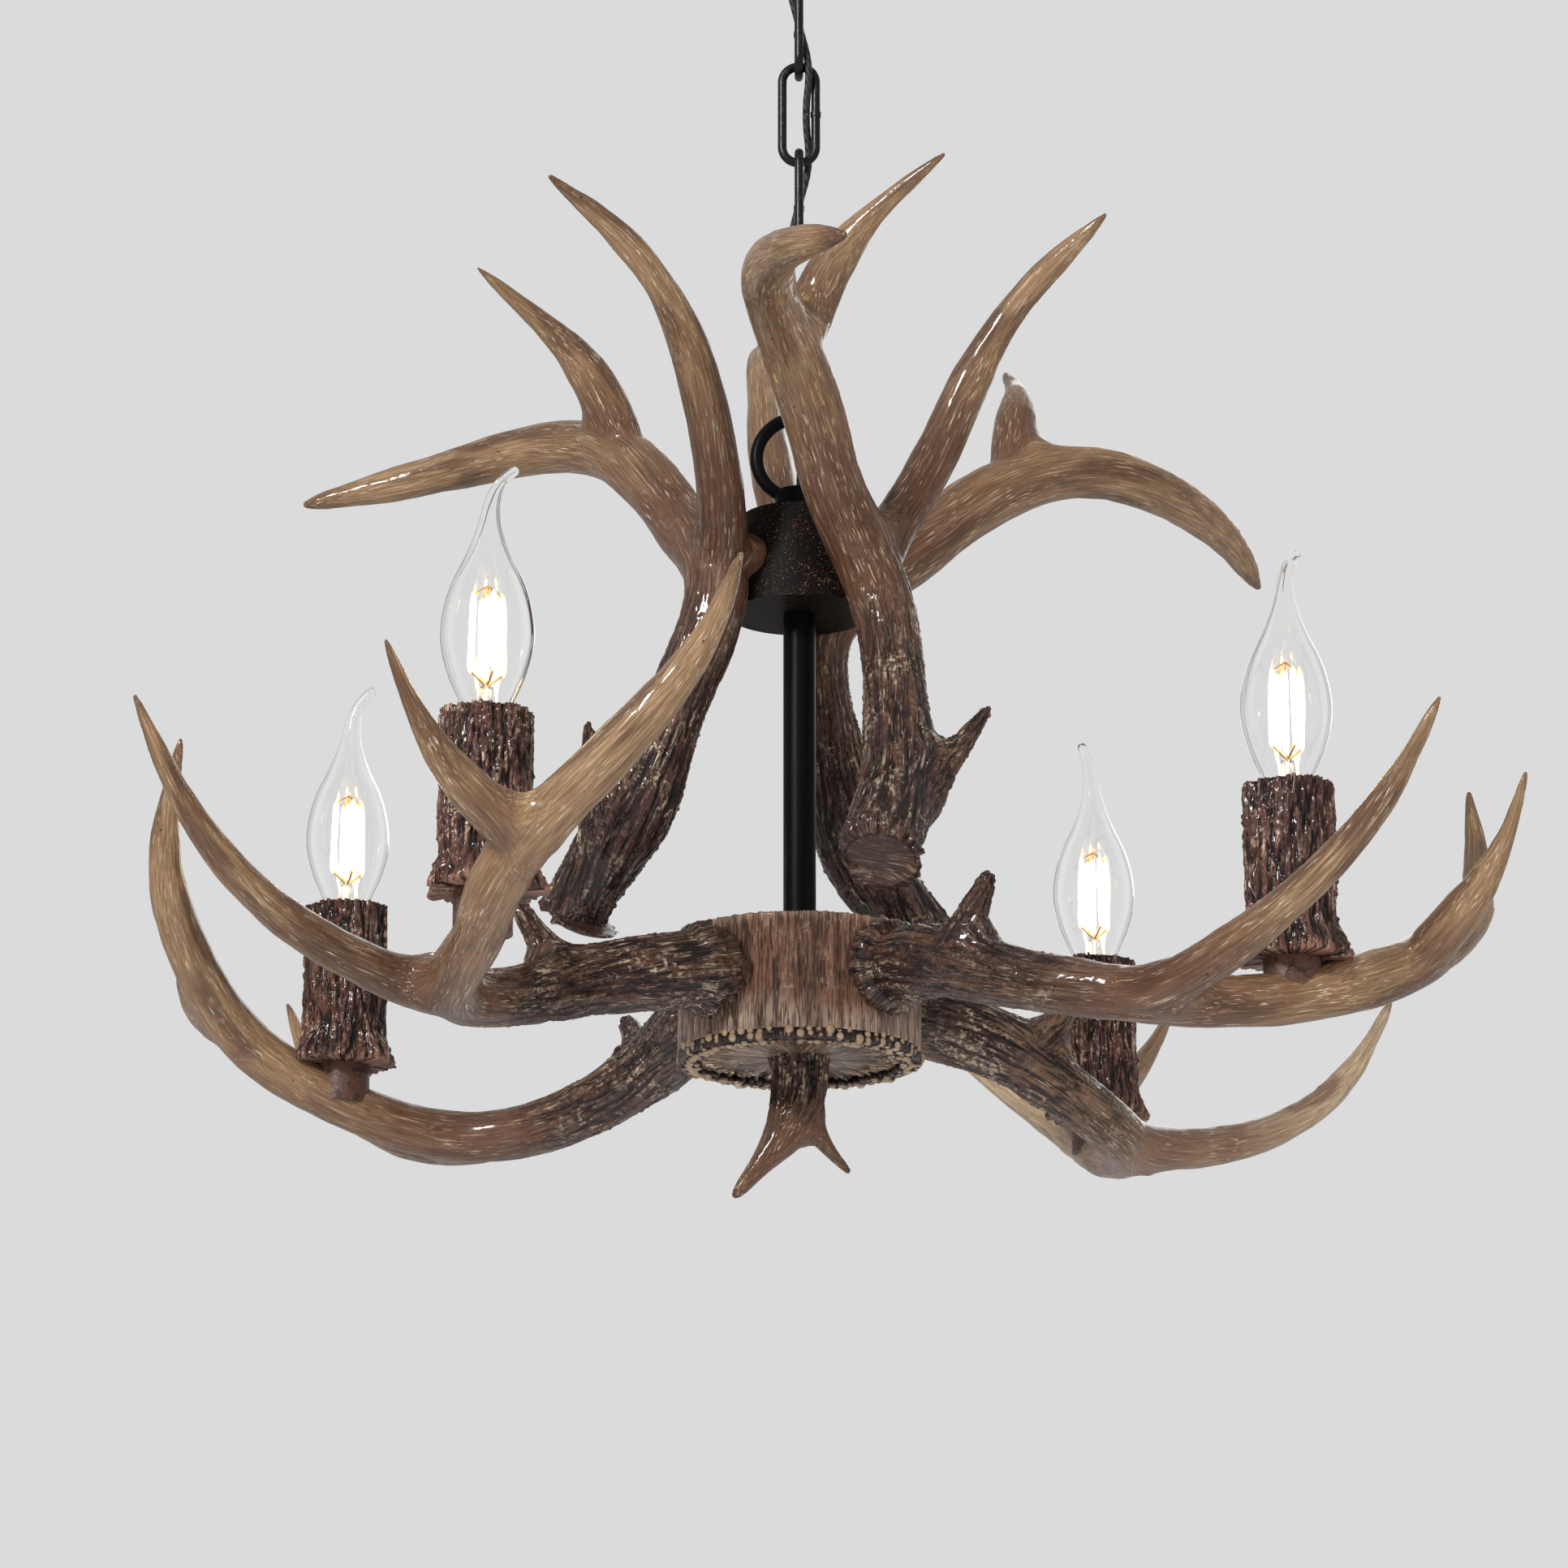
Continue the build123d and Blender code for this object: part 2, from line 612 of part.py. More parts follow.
def link_shape():
    # A round-ended link in the XZ plane with the bulge of its weld on one side.
    bend = (link_width - link_wire) / 2
    half = (link_length - link_width) / 2
    path = Line((bend, -half), (bend, half)) + CenterArc((0, half), bend, 0, 180)
    path = path + Line((-bend, half), (-bend, -half)) + CenterArc((0, -half), bend, 180, 180)
    path = Plane.XZ * path
    section = Plane(origin=path @ 0, z_dir=path % 0) * Circle(link_wire / 2)
    weld = Cylinder(link_wire / 2 + weld_bulge, weld_length)
    weld = fillet(weld.edges().filter_by(GeomType.CIRCLE), weld_bulge)
    return sweep(section, path) + Pos(bend, 0, 0) * weld


def chain_link(index, shape):
    # Links are numbered from the canopy down; every other one is turned a quarter.
    seat = canopy_loop_seat - index * link_pitch
    middle = seat + face_gap + link_wire - link_length / 2
    return Pos(0, 0, middle) * Rot(Z=0 if index % 2 else 90) * shape


for index in range(link_count):
    save(chain_link(index, link_shape()), f"chain_link_{index + 1}")


def cord_points():
    # The cord climbs round the chain a quarter turn for each link and threads every link at its middle.
    corners = [(1, 1), (-1, 1), (-1, -1), (1, -1)]
    points = [(0, 0, cord_start), (0, 0, canopy_loop_middle + cord_lead_above)]
    points.append((cord_lead_side, cord_lead_side, canopy_loop_middle - cord_lead_below))
    for index in range(link_count + 1):
        x, y = corners[index % 4]
        seat = canopy_loop_seat - index * link_pitch
        points.append((cord_swing * x, cord_swing * y, seat))
        if index < link_count:
            next_x, next_y = corners[(index + 1) % 4]
            across, back = cord_pull * (x + next_x) / 2, cord_pull * (y + next_y) / 2
            points.append((across, back, seat - link_pitch / 2))
    x, y = corners[link_count % 4]
    points.append((cord_tail_side * x, cord_tail_side * y, ring_middle + cord_tail_above))
    points.append((0, 0, ring_middle - cord_tail_below))
    points.append((0, 0, cord_end))
    return points


def corner_radii(points):
    # As large as the two runs at each corner allow.
    radii = []
    for before, here, after in zip(points, points[1:], points[2:]):
        first = Vector(*here) - Vector(*before)
        second = Vector(*after) - Vector(*here)
        half_turn = radians(first.get_angle(second)) / 2
        radii.append(cord_corner_share * min(first.length, second.length) / tan(half_turn))
    return radii


def power_cord():
    points = cord_points()
    radii = corner_radii(points)
    print("cord radii", [round(radius) for radius in radii])
    path = FilletPolyline(*points, radius=radii)
    section = Plane(origin=path @ 0, z_dir=path % 0) * Circle(cord_diameter / 2)
    cord = sweep(section, path)
    print("cord length", round(path.length, 1), "volume share",
          round(cord.volume / (path.length * pi * cord_diameter ** 2 / 4), 4))
    return cord


save(power_cord(), "power_cord")


# ---------------------------------------------------------------- canopy

def canopy():
    outline = upright(canopy_radius, canopy_bottom, 0)
    outline = fillet(outline.edges().sort_by(Axis.Z)[0], canopy_shoulder)
    inner = upright(canopy_radius - canopy_wall, canopy_bottom + canopy_wall, canopy_height)
    inner = fillet(inner.edges().sort_by(Axis.Z)[0], canopy_shoulder - canopy_wall)
    shell = outline - inner - upright(loop_stem_radius + sliding_gap, canopy_bottom, 0)
    for side in (-1, 1):
        x = side * canopy_screw_spacing / 2
        shell = shell - upright(canopy_screw_radius + sliding_gap, canopy_bottom, 0, x)
    return shell


def mounting_strap():
    # A cross bar whose turned-up ends meet the ceiling, with holes for the stem, the ceiling and the canopy.
    strap = upright_box(strap_length, strap_width, strap_low, strap_top)
    for side in (-1, 1):
        foot = upright_box(strap_thickness, strap_width, strap_low, 0)
        strap = strap + Pos(side * (strap_length - strap_thickness) / 2, 0, 0) * foot
        strap = strap - upright(ceiling_hole_radius, strap_low, 0, side * ceiling_hole_spacing / 2)
        x = side * canopy_screw_spacing / 2
        strap = strap - upright(canopy_screw_radius + sliding_gap, strap_low, 0, x)
    return strap - upright(loop_stem_radius + sliding_gap, strap_low, 0)


def canopy_screw(side):
    # Hangs in the strap by its head and carries the canopy on a cap nut.
    x = side * canopy_screw_spacing / 2
    shank = upright(canopy_screw_radius, canopy_bottom - cap_nut_height / 2, strap_top, x)
    head = upright(canopy_screw_head_radius, strap_top, strap_top + canopy_screw_head_height, x)
    nut = upright(cap_nut_radius, canopy_bottom - cap_nut_height, canopy_bottom, x)
    nut = fillet(nut.edges().filter_by(GeomType.CIRCLE).sort_by(Axis.Z)[0], cap_nut_radius / 2)
    return shank + head + nut


def canopy_nuts():
    floor = canopy_bottom + canopy_wall
    lows = [floor, strap_low - stem_nut_height]
    bore = loop_stem_radius + sliding_gap / 2
    nuts = [hex_nut(stem_nut_flats, bore, low, low + stem_nut_height) for low in lows]
    return Compound(children=[nut.solid() for nut in nuts])


save(canopy(), "canopy")
save(mounting_strap(), "mounting_strap")
save(canopy_nuts(), "canopy_nuts")
save(Compound(children=[canopy_screw(side).solid() for side in (-1, 1)]), "canopy_screws")
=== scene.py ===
from math import cos, pi, radians, sin

import bmesh
import bpy
import numpy as np
from mathutils import Matrix, Vector


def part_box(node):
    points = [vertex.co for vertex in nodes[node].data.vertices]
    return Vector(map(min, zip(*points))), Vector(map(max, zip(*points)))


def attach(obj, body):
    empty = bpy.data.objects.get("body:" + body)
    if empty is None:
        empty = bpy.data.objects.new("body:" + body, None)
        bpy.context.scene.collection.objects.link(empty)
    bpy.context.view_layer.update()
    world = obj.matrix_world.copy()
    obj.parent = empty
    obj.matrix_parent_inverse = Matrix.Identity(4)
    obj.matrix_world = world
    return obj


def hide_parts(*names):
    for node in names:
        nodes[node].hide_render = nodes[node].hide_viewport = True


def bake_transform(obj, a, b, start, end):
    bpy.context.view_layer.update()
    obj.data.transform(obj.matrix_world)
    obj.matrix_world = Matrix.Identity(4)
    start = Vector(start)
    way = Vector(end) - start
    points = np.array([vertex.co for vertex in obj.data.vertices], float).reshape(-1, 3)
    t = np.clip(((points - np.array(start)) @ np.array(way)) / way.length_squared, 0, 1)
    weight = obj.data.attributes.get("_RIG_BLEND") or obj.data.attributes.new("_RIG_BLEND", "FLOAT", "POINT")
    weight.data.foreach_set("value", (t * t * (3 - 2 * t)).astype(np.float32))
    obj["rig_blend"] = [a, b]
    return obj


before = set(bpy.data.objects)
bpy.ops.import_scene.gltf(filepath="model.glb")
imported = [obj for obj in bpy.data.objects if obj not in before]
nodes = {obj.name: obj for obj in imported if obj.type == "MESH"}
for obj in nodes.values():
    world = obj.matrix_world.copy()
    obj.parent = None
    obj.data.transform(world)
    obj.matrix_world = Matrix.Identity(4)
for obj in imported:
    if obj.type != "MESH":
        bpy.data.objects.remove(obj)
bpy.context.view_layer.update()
scene = bpy.context.scene
mm = 0.001
scene.view_settings.view_transform = "Standard"
print("frame loaded:", len(nodes), "nodes")


# camera: level front view from below the cup, tilted up to the middle of the fixture
cameraSettings = {
    "place": (-0.0062, -2.155, -1.0805),
    "tilt": 15.37,            # degrees above the horizon
    "focalPixels": 6890,
    "imagePixels": 1932,
    "sensor": 36.0,           # millimetres
}


def addObject(name, data):
    thing = bpy.data.objects.new(name, data)
    scene.collection.objects.link(thing)
    return thing


def makeCamera(settings):
    data = bpy.data.cameras.new("camera")
    data.sensor_width = settings["sensor"]
    data.lens = settings["focalPixels"] / settings["imagePixels"] * settings["sensor"]
    camera = addObject("camera", data)
    camera.location = settings["place"]
    camera.rotation_euler = (radians(90 + settings["tilt"]), 0, 0)
    scene.camera = camera


makeCamera(cameraSettings)


# node trees
class Wire:
    # a node's output; each sum written with it adds one math node
    def __init__(self, graph, socket):
        self.graph = graph
        self.socket = socket

    def __add__(self, other):
        return self.graph.math("ADD", self, other)

    def __sub__(self, other):
        return self.graph.math("SUBTRACT", self, other)

    def __rsub__(self, other):
        return self.graph.math("SUBTRACT", other, self)

    def __mul__(self, other):
        return self.graph.math("MULTIPLY", self, other)

    def __rtruediv__(self, other):
        return self.graph.math("DIVIDE", other, self)


class Graph:
    # adds nodes to a tree; an input is given as a value, or as the socket or wire that feeds it
    def __init__(self, tree):
        self.tree = tree

    def feed(self, inputs, values):
        for name, value in values.items():
            value = getattr(value, "socket", value)
            if isinstance(value, bpy.types.NodeSocket):
                self.tree.links.new(value, inputs[name])
            else:
                inputs[name].default_value = value
        return self.tree

    def add(self, kind, inputs=None, **settings):
        node = self.tree.nodes.new(kind)
        for name, value in settings.items():
            setattr(node, name, value)
        self.feed(node.inputs, inputs or {})
        return node

    def wire(self, kind, inputs=None, output=0, **settings):
        return Wire(self, self.add(kind, inputs, **settings).outputs[output])

    def math(self, operation, *values, clamp=False):
        return self.wire("ShaderNodeMath", dict(enumerate(values)), operation=operation, use_clamp=clamp)

    def vector(self, operation, *values):
        return self.wire("ShaderNodeVectorMath", dict(enumerate(values)), operation=operation)

    def scaled(self, vector, factor):
        return self.wire("ShaderNodeVectorMath", {0: vector, "Scale": factor}, operation="SCALE")

    def drawn(self, grain, width, stretch):
        # coordinates of a pattern that is drawn out along the third of them
        squeeze = self.wire("ShaderNodeCombineXYZ", {0: 1.0, 1: 1.0, 2: 1.0 / stretch})
        return self.scaled(self.vector("MULTIPLY", grain, squeeze), 1.0 / width)

    def smooth(self, value, low, high):
        inputs = {"Value": value, "From Min": low, "From Max": high}
        return self.wire("ShaderNodeMapRange", inputs, interpolation_type="SMOOTHSTEP")

    def mix(self, factor, first, second):
        return self.wire("ShaderNodeMix", {0: factor, 2: first, 3: second}, data_type="FLOAT")

    def blendColour(self, factor, first, second):
        return self.wire("ShaderNodeMix", {0: factor, 6: first, 7: second}, 2, data_type="RGBA")

    def place(self):
        return self.wire("ShaderNodeTexCoord", output="Object")

    def noise(self, vector, size, detail=2.0, roughness=0.5, distortion=0.0):
        return self.wire("ShaderNodeTexNoise", {
            "Vector": vector, "Scale": size, "Detail": detail, "Roughness": roughness,
            "Distortion": distortion})


def newGroup(name, kind, inputs, outputs):
    # a socket is given as its type, or as the number that it starts with
    tree = bpy.data.node_groups.new(name, kind)
    for side, sockets in (("INPUT", inputs), ("OUTPUT", outputs)):
        for label, value in sockets.items():
            form = value if isinstance(value, str) else type(value).__name__.title()
            socket = tree.interface.new_socket(label, in_out=side, socket_type="NodeSocket" + form)
            if form != value:
                socket.default_value = value
    graph = Graph(tree)
    given = {socket.name: Wire(graph, socket) for socket in graph.add("NodeGroupInput").outputs}
    return graph, given, graph.add("NodeGroupOutput").inputs


def endTree(graph, geometry, given, result):
    # plain meshes with their material
    whole = graph.wire("GeometryNodeRealizeInstances", {0: geometry})
    dressed = graph.wire("GeometryNodeSetMaterial", {"Geometry": whole, "Material": given["Material"]})
    return graph.feed(result, {0: dressed})


# meshes
def settle(piece):
    # turns what the modifiers make into the piece's own plain mesh
    depsgraph = bpy.context.evaluated_depsgraph_get()
    shaped = piece.evaluated_get(depsgraph)
    mesh = bpy.data.meshes.new_from_object(shaped, preserve_all_data_layers=True, depsgraph=depsgraph)
    piece.modifiers.clear()
    piece.data = mesh
    mesh.name = piece.name
    mesh.shade_smooth()
    return piece


def applyTree(piece, tree, values):
    modifier = piece.modifiers.new(tree.name, "NODES")
    modifier.node_group = tree
    for item in tree.interface.items_tree:
        if item.in_out == "INPUT" and item.name in values:
            modifier[item.identifier] = values[item.name]
    return settle(piece)


def newPiece(name, vertices, faces):
    mesh = bpy.data.meshes.new(name)
    mesh.from_pydata([tuple(v) for v in vertices], [], faces)
    mesh.update()
    mesh.shade_smooth()
    return addObject(name, mesh)


def vertexArray(mesh):
    flat = np.zeros(len(mesh.vertices) * 3, np.float32)
    mesh.vertices.foreach_get("co", flat)
    return flat.reshape(-1, 3).astype(float)


def movePoints(mesh, points):
    mesh.vertices.foreach_set("co", points.astype(np.float32).ravel())
    mesh.update()


def storeValues(mesh, **named):
    # a value for each point, or one for all of them
    for name, values in named.items():
        values = np.asarray(values, np.float32)
        if values.ndim == 0:
            values = np.full(len(mesh.vertices), values)
        form, key = ("FLOAT_VECTOR", "vector") if values.ndim == 2 else ("FLOAT", "value")
        layer = mesh.attributes.get(name) or mesh.attributes.new(name, form, "POINT")
        layer.data.foreach_set(key, values.ravel())


def finishPiece(piece, body, node=None):
    # stands in for its CAD node, if it has one, and moves with its body
    if node:
        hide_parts(node)
    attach(piece, body)


def ramp(values, low, high):
    t = np.clip((values - low) / (high - low), 0, 1)
    return t * t * (3 - 2 * t)


def axisReach(points):
    return np.linalg.norm(points[:, :2], axis=1)


def runLengths(points):
    return np.concatenate([[0], np.cumsum(np.linalg.norm(np.diff(points, axis=0), axis=1))])


# relief: grooves along the grain, pearls, burrs and soft lumps, one tree for all carved pieces
def buildReliefTree():
    graph, given, result = newGroup("carvedRelief", "GeometryNodeTree", {
        "Geometry": "Geometry", "Groove Depth": 0.001, "Groove Width": 0.004, "Groove Stretch": 7.0,
        "Pearl Depth": 0.0006, "Pearl Width": 0.004, "Burr Depth": 0.0016, "Burr Width": 0.0042,
        "Lump Depth": 0.001, "Lump Width": 0.03, "Material": "Material",
    }, {"Geometry": "Geometry"})
    position = graph.wire("GeometryNodeInputPosition")

    def named(name, form="FLOAT"):
        return graph.wire("GeometryNodeInputNamedAttribute", {"Name": name}, data_type=form)

    def channels(grain, width):
        # narrow wandering channels between flat ridges
        field = graph.noise(graph.drawn(grain, width, given["Groove Stretch"]), 1.0, 2.0, 0.55, 0.35)
        return graph.smooth(graph.math("ABSOLUTE", field - 0.5), 0.0, 0.1)

    def carved(name):
        grain = named(name, "FLOAT_VECTOR")
        width = given["Groove Width"]
        return channels(grain, width) * 0.68 + channels(grain, width * 0.45) * 0.32

    def pearls(width, spread):
        cells = graph.wire("ShaderNodeTexVoronoi", {
            "Vector": graph.scaled(position, 1.0 / width), "Scale": 1.0, "Smoothness": 0.25,
        }, "Distance", feature="SMOOTH_F1")
        return 1.0 - graph.smooth(cells, 0.08, spread)

    rough = named("rough")
    relief = graph.mix(named("blend"), carved("grainB"), carved("grainA"))
    patches = graph.smooth(graph.noise(position, 60.0), 0.44, 0.6)
    small = pearls(given["Pearl Width"], 0.5) * (patches * rough)
    large = (pearls(given["Burr Width"], 0.6) * 0.7 + 0.3) * named("burr")
    lump = graph.noise(position, 1.0 / given["Lump Width"]) - 0.5
    height = (relief - 0.8) * given["Groove Depth"] * rough
    for share, depth in ((small, "Pearl Depth"), (large, "Burr Depth"), (lump, "Lump Depth")):
        height = height + share * given[depth]
    offset = graph.scaled(graph.wire("GeometryNodeInputNormal"), height * named("guard"))
    raised = graph.math("ADD", relief * 0.72, graph.math("MAXIMUM", small, large) * 0.5, clamp=True)
    stored = graph.wire("GeometryNodeStoreNamedAttribute", {
        "Geometry": given["Geometry"], "Name": "relief", "Value": raised,
    }, data_type="FLOAT", domain="POINT")
    moved = graph.wire("GeometryNodeSetPosition", {"Geometry": stored, "Offset": offset})
    return endTree(graph, moved, given, result)


reliefTree = buildReliefTree()


# shader groups: their numbers are sizes in metres or shares from 0 to 1
def buildMarks():
    # marks along the grain: fibres, short dashes, fine cracks and broad clouds of glaze
    graph, given, result = newGroup("grainMarks", "ShaderNodeTree", {
        "Vector": "Vector", "Fibre": 0.0008, "Crack": 0.0034, "Stretch": 20.0,
    }, dict.fromkeys(("Fibre", "Dash", "Crack", "Glaze"), "Float"))

    def marks(width, stretch, *pattern):
        return graph.noise(graph.drawn(given["Vector"], width, stretch), 1.0, *pattern)

    dash = graph.smooth(marks(0.0006, 13.0, 1.0), 0.62, 0.69)
    patch = graph.smooth(marks(0.011, 2.5, 2.0), 0.42, 0.62)
    wave = graph.math("ABSOLUTE", marks(given["Crack"], 12.0, 2.0, 0.6, 0.4) - 0.5)
    return graph.feed(result, {
        "Fibre": marks(given["Fibre"], given["Stretch"], 3.0, 0.62), "Dash": dash * patch,
        "Crack": 1.0 - graph.smooth(wave, 0.0, 0.045), "Glaze": marks(0.013, 5.0, 2.0, 0.55)})


def buildPainted():
    # resin darker at the root and paler towards the tip, glazed brown, darker in the hollows, and pale on the
    # ridges: partly dry-brushed paint and partly painted highlight
    graph, given, result = newGroup("paintedRelief", "ShaderNodeTree", {
        "Relief": 0.5, "Pale": 0.5, "Rough": 0.5, "Fibre": 0.5, "Dash": 0.0, "Crack": 0.0, "Glaze": 0.5,
        **dict.fromkeys(("Root", "Middle", "Tip", "Stain", "Hollow", "Ridge"), "Color"),
        "Ridge Amount": 0.6, "Pore Amount": 0.6, "Streak": 1.0,
    }, {"Color": "Color", "Roughness": "Float", "Height": "Float"})
    place = graph.place()
    relief, rough, streak = given["Relief"], given["Rough"], given["Streak"]
    shade = given["Pale"] + (graph.noise(place, 34.0, 3.0) + given["Glaze"] - 1.0) * 0.55
    fibre = graph.smooth(given["Fibre"], 0.36, 0.66)
    low = 1.0 - graph.smooth(relief, 0.12, 0.5)
    crack = given["Crack"] * (rough * 0.75 + 0.12)
    brushAndHighlightSpots = graph.smooth(graph.noise(place, 380.0, 3.0, 0.65), 0.44, 0.6)
    # pale lines on the lips of the grooves and the ridge tops, and the pale dashes: partly dry-brushed paint
    # and partly painted highlight
    lip = graph.smooth(relief, 0.44, 0.56) - graph.smooth(relief, 0.6, 0.76)
    wearAndHighlightPatches = graph.mix(graph.smooth(graph.noise(place, 48.0), 0.46, 0.66), 0.14, 1.0)
    high = (lip + graph.smooth(relief, 0.72, 0.98) * 0.34) * brushAndHighlightSpots * given["Ridge Amount"] * rough * wearAndHighlightPatches
    high = graph.math("MAXIMUM", high, given["Dash"] * graph.mix(rough, 0.6, 0.3))
    cells = graph.add("ShaderNodeTexVoronoi", {"Vector": place, "Scale": 120.0}).outputs
    some = graph.math("GREATER_THAN", graph.wire("ShaderNodeSeparateXYZ", {0: cells["Color"]}), 0.62)
    pore = (1.0 - graph.smooth(cells["Distance"], 0.03, 0.085)) * some * given["Pore Amount"]
    base = given["Root"]
    for amount, name in (
            (graph.smooth(shade, 0.02, 0.42), "Middle"), (graph.smooth(shade, 0.4, 0.95), "Tip"),
            (graph.smooth(given["Glaze"], 0.47, 0.64) * 0.72, "Stain"),
            ((1.0 - fibre) * (streak * graph.mix(rough, 0.5, 0.22)), "Stain"),
            (graph.smooth(given["Fibre"], 0.58, 0.74) * (streak * graph.mix(rough, 0.34, 0.1)), "Ridge"),
            (low * (rough * 0.9), "Hollow"), (crack, "Hollow"), (high, "Ridge"), (pore, "Hollow")):
        base = graph.blendColour(amount, base, given[name])
    height = given["Fibre"] * 0.7 - crack + high * 0.35 - pore * 0.5 + graph.noise(place, 900.0) * 0.2
    return graph.feed(result, {
        "Color": base, "Roughness": graph.mix(fibre, 0.52, 0.34) + low * 0.14, "Height": height})


def buildPatina():
    # metal with patches of a second colour and fine speckles of a third
    graph, given, result = newGroup("metalPatina", "ShaderNodeTree", {
        "Patch Size": 0.006, "Patch Cover": 0.4, "Speckle Size": 0.0009, "Speckle Cover": 0.3,
        **dict.fromkeys(("Base", "Patch", "Speckle"), "Color"),
    }, {"Color": "Color", "Mask": "Float", "Height": "Float"})
    place = graph.place()
    broad = graph.noise(graph.scaled(place, 1.0 / given["Patch Size"]), 1.0, 4.0, 0.62)
    edge = 0.72 - given["Patch Cover"] * 0.4
    patch = graph.smooth(broad, edge, edge + 0.12)
    fine = graph.noise(graph.scaled(place, 1.0 / given["Speckle Size"]), 1.0)
    start = 0.78 - given["Speckle Cover"] * 0.4
    speck = graph.smooth(fine, start, start + 0.06)
    shade = graph.blendColour(patch, given["Base"], given["Patch"])
    return graph.feed(result, {
        "Color": graph.blendColour(speck, shade, given["Speckle"]),
        "Mask": graph.math("MAXIMUM", patch, speck), "Height": broad + fine * 0.4})


marksGroup = buildMarks()
paintedGroup = buildPainted()
patinaGroup = buildPatina()


# materials
def newMaterial(name, **fixed):
    material = bpy.data.materials.new(name)
    material.use_nodes = True
    shader = material.node_tree.nodes["Principled BSDF"]
    for label, value in fixed.items():
        shader.inputs[label].default_value = value
    return material, Graph(material.node_tree), shader


def addBump(graph, shader, height, distance):
    bump = graph.wire("ShaderNodeBump", {"Height": height, "Distance": distance, "Strength": 1.0})
    graph.feed(shader.inputs, {"Normal": bump})


def colour(red, green, blue):
    # screen colour, 0 to 255, as the linear colour that a shader takes
    linear = [c / 12.92 if c <= 0.04045 else ((c + 0.055) / 1.055) ** 2.4 for c in
              (red / 255, green / 255, blue / 255)]
    return (*linear, 1.0)


def groupValues(look):
    # what goes into a node group is written with a capital, and its tuples are colours
    return {label: colour(*value) if isinstance(value, tuple) else value
            for label, value in look.items() if label[0].isupper()}


def carvedMaterial(name, look):
    material, graph, shader = newMaterial(name, **{
        "Coat Weight": look["varnish"], "Coat Roughness": 0.1, "Specular IOR Level": 0.2})

    def given(label, output="Fac"):
        return graph.wire("ShaderNodeAttribute", output=output, attribute_name=label)

    marks = [graph.add("ShaderNodeGroup", {
        "Vector": given(label, "Vector"), "Fibre": look["fibre"], "Crack": look["crack"],
        "Stretch": look["stretch"]}, node_tree=marksGroup).outputs for label in ("grainB", "grainA")]
    blend = given("blend")
    values = {label.title(): given(label) for label in ("relief", "pale", "rough")}
    for key in ("Fibre", "Dash", "Crack", "Glaze"):
        values[key] = graph.mix(blend, marks[0][key], marks[1][key])
    values.update(groupValues(look))
    paint = graph.add("ShaderNodeGroup", values, node_tree=paintedGroup).outputs
    graph.feed(shader.inputs, {"Base Color": paint["Color"], "Roughness": paint["Roughness"]})
    addBump(graph, shader, paint["Height"], look["bump"])
    return material


# Ridge is the pale on ridges, pearls and dashes: partly dry-brushed paint and partly painted highlight
antlerLook = {
    "Root": (55, 31, 29), "Middle": (102, 70, 50), "Tip": (154, 123, 90),
    "Stain": (72, 44, 29), "Hollow": (20, 11, 10), "Ridge": (228, 210, 180),
    "Ridge Amount": 0.5, "Pore Amount": 0.7, "Streak": 1.0,
    "fibre": 0.0008, "crack": 0.0034, "stretch": 24.0, "bump": 0.0009, "varnish": 0.5,
}
paleAntlerLook = dict(antlerLook, Middle=(124, 94, 74), Tip=(190, 165, 134),
                      Stain=(104, 75, 55))
barkLook = {
    "Root": (68, 37, 30), "Middle": (88, 52, 42), "Tip": (158, 118, 96),
    "Stain": (58, 32, 27), "Hollow": (13, 7, 7), "Ridge": (218, 184, 162),
    "Ridge Amount": 0.8, "Pore Amount": 0.2, "Streak": 0.8,
    "fibre": 0.0006, "crack": 0.003, "stretch": 8.0, "bump": 0.0009, "varnish": 0.45,
}
hubLook = {
    "Root": (102, 68, 51), "Middle": (124, 87, 69), "Tip": (176, 150, 132),
    "Stain": (90, 62, 48), "Hollow": (20, 12, 10), "Ridge": (214, 194, 168),
    "Ridge Amount": 0.5, "Pore Amount": 0.2, "Streak": 0.6,
    "fibre": 0.0004, "crack": 0.0022, "stretch": 22.0, "bump": 0.0007, "varnish": 0.4,
}
discLook = dict(hubLook, **{
    "Root": (60, 42, 34), "Middle": (120, 92, 72), "Tip": (156, 128, 106),
    "Stain": (44, 29, 23), "Ridge": (232, 214, 182), "Ridge Amount": 1.3, "Streak": 1.7,
    "crack": 0.004, "fibre": 0.0013})
beadLook = dict(antlerLook, **{
    "Middle": (66, 43, 34), "Tip": (178, 150, 120), "Ridge": (228, 208, 176),
    "Ridge Amount": 1.2, "Pore Amount": 0.0, "Streak": 0.3})

antlerResin = carvedMaterial("antlerResin", antlerLook)
paleAntlerResin = carvedMaterial("paleAntlerResin", paleAntlerLook)
barkResin = carvedMaterial("barkResin", barkLook)
hubResin = carvedMaterial("hubResin", hubLook)
discResin = carvedMaterial("discResin", discLook)
beadResin = carvedMaterial("beadResin", beadLook)


def metalMaterial(name, look):
    material, graph, shader = newMaterial(name, **{"Specular IOR Level": look["shine"]})
    patina = graph.add("ShaderNodeGroup", groupValues(look), node_tree=patinaGroup).outputs
    graph.feed(shader.inputs, {
        "Base Color": patina["Color"], "Metallic": graph.mix(patina["Mask"], *look["metal"]),
        "Roughness": graph.mix(patina["Mask"], *look["rough"])})
    addBump(graph, shader, patina["Height"], look["bump"])
    return material


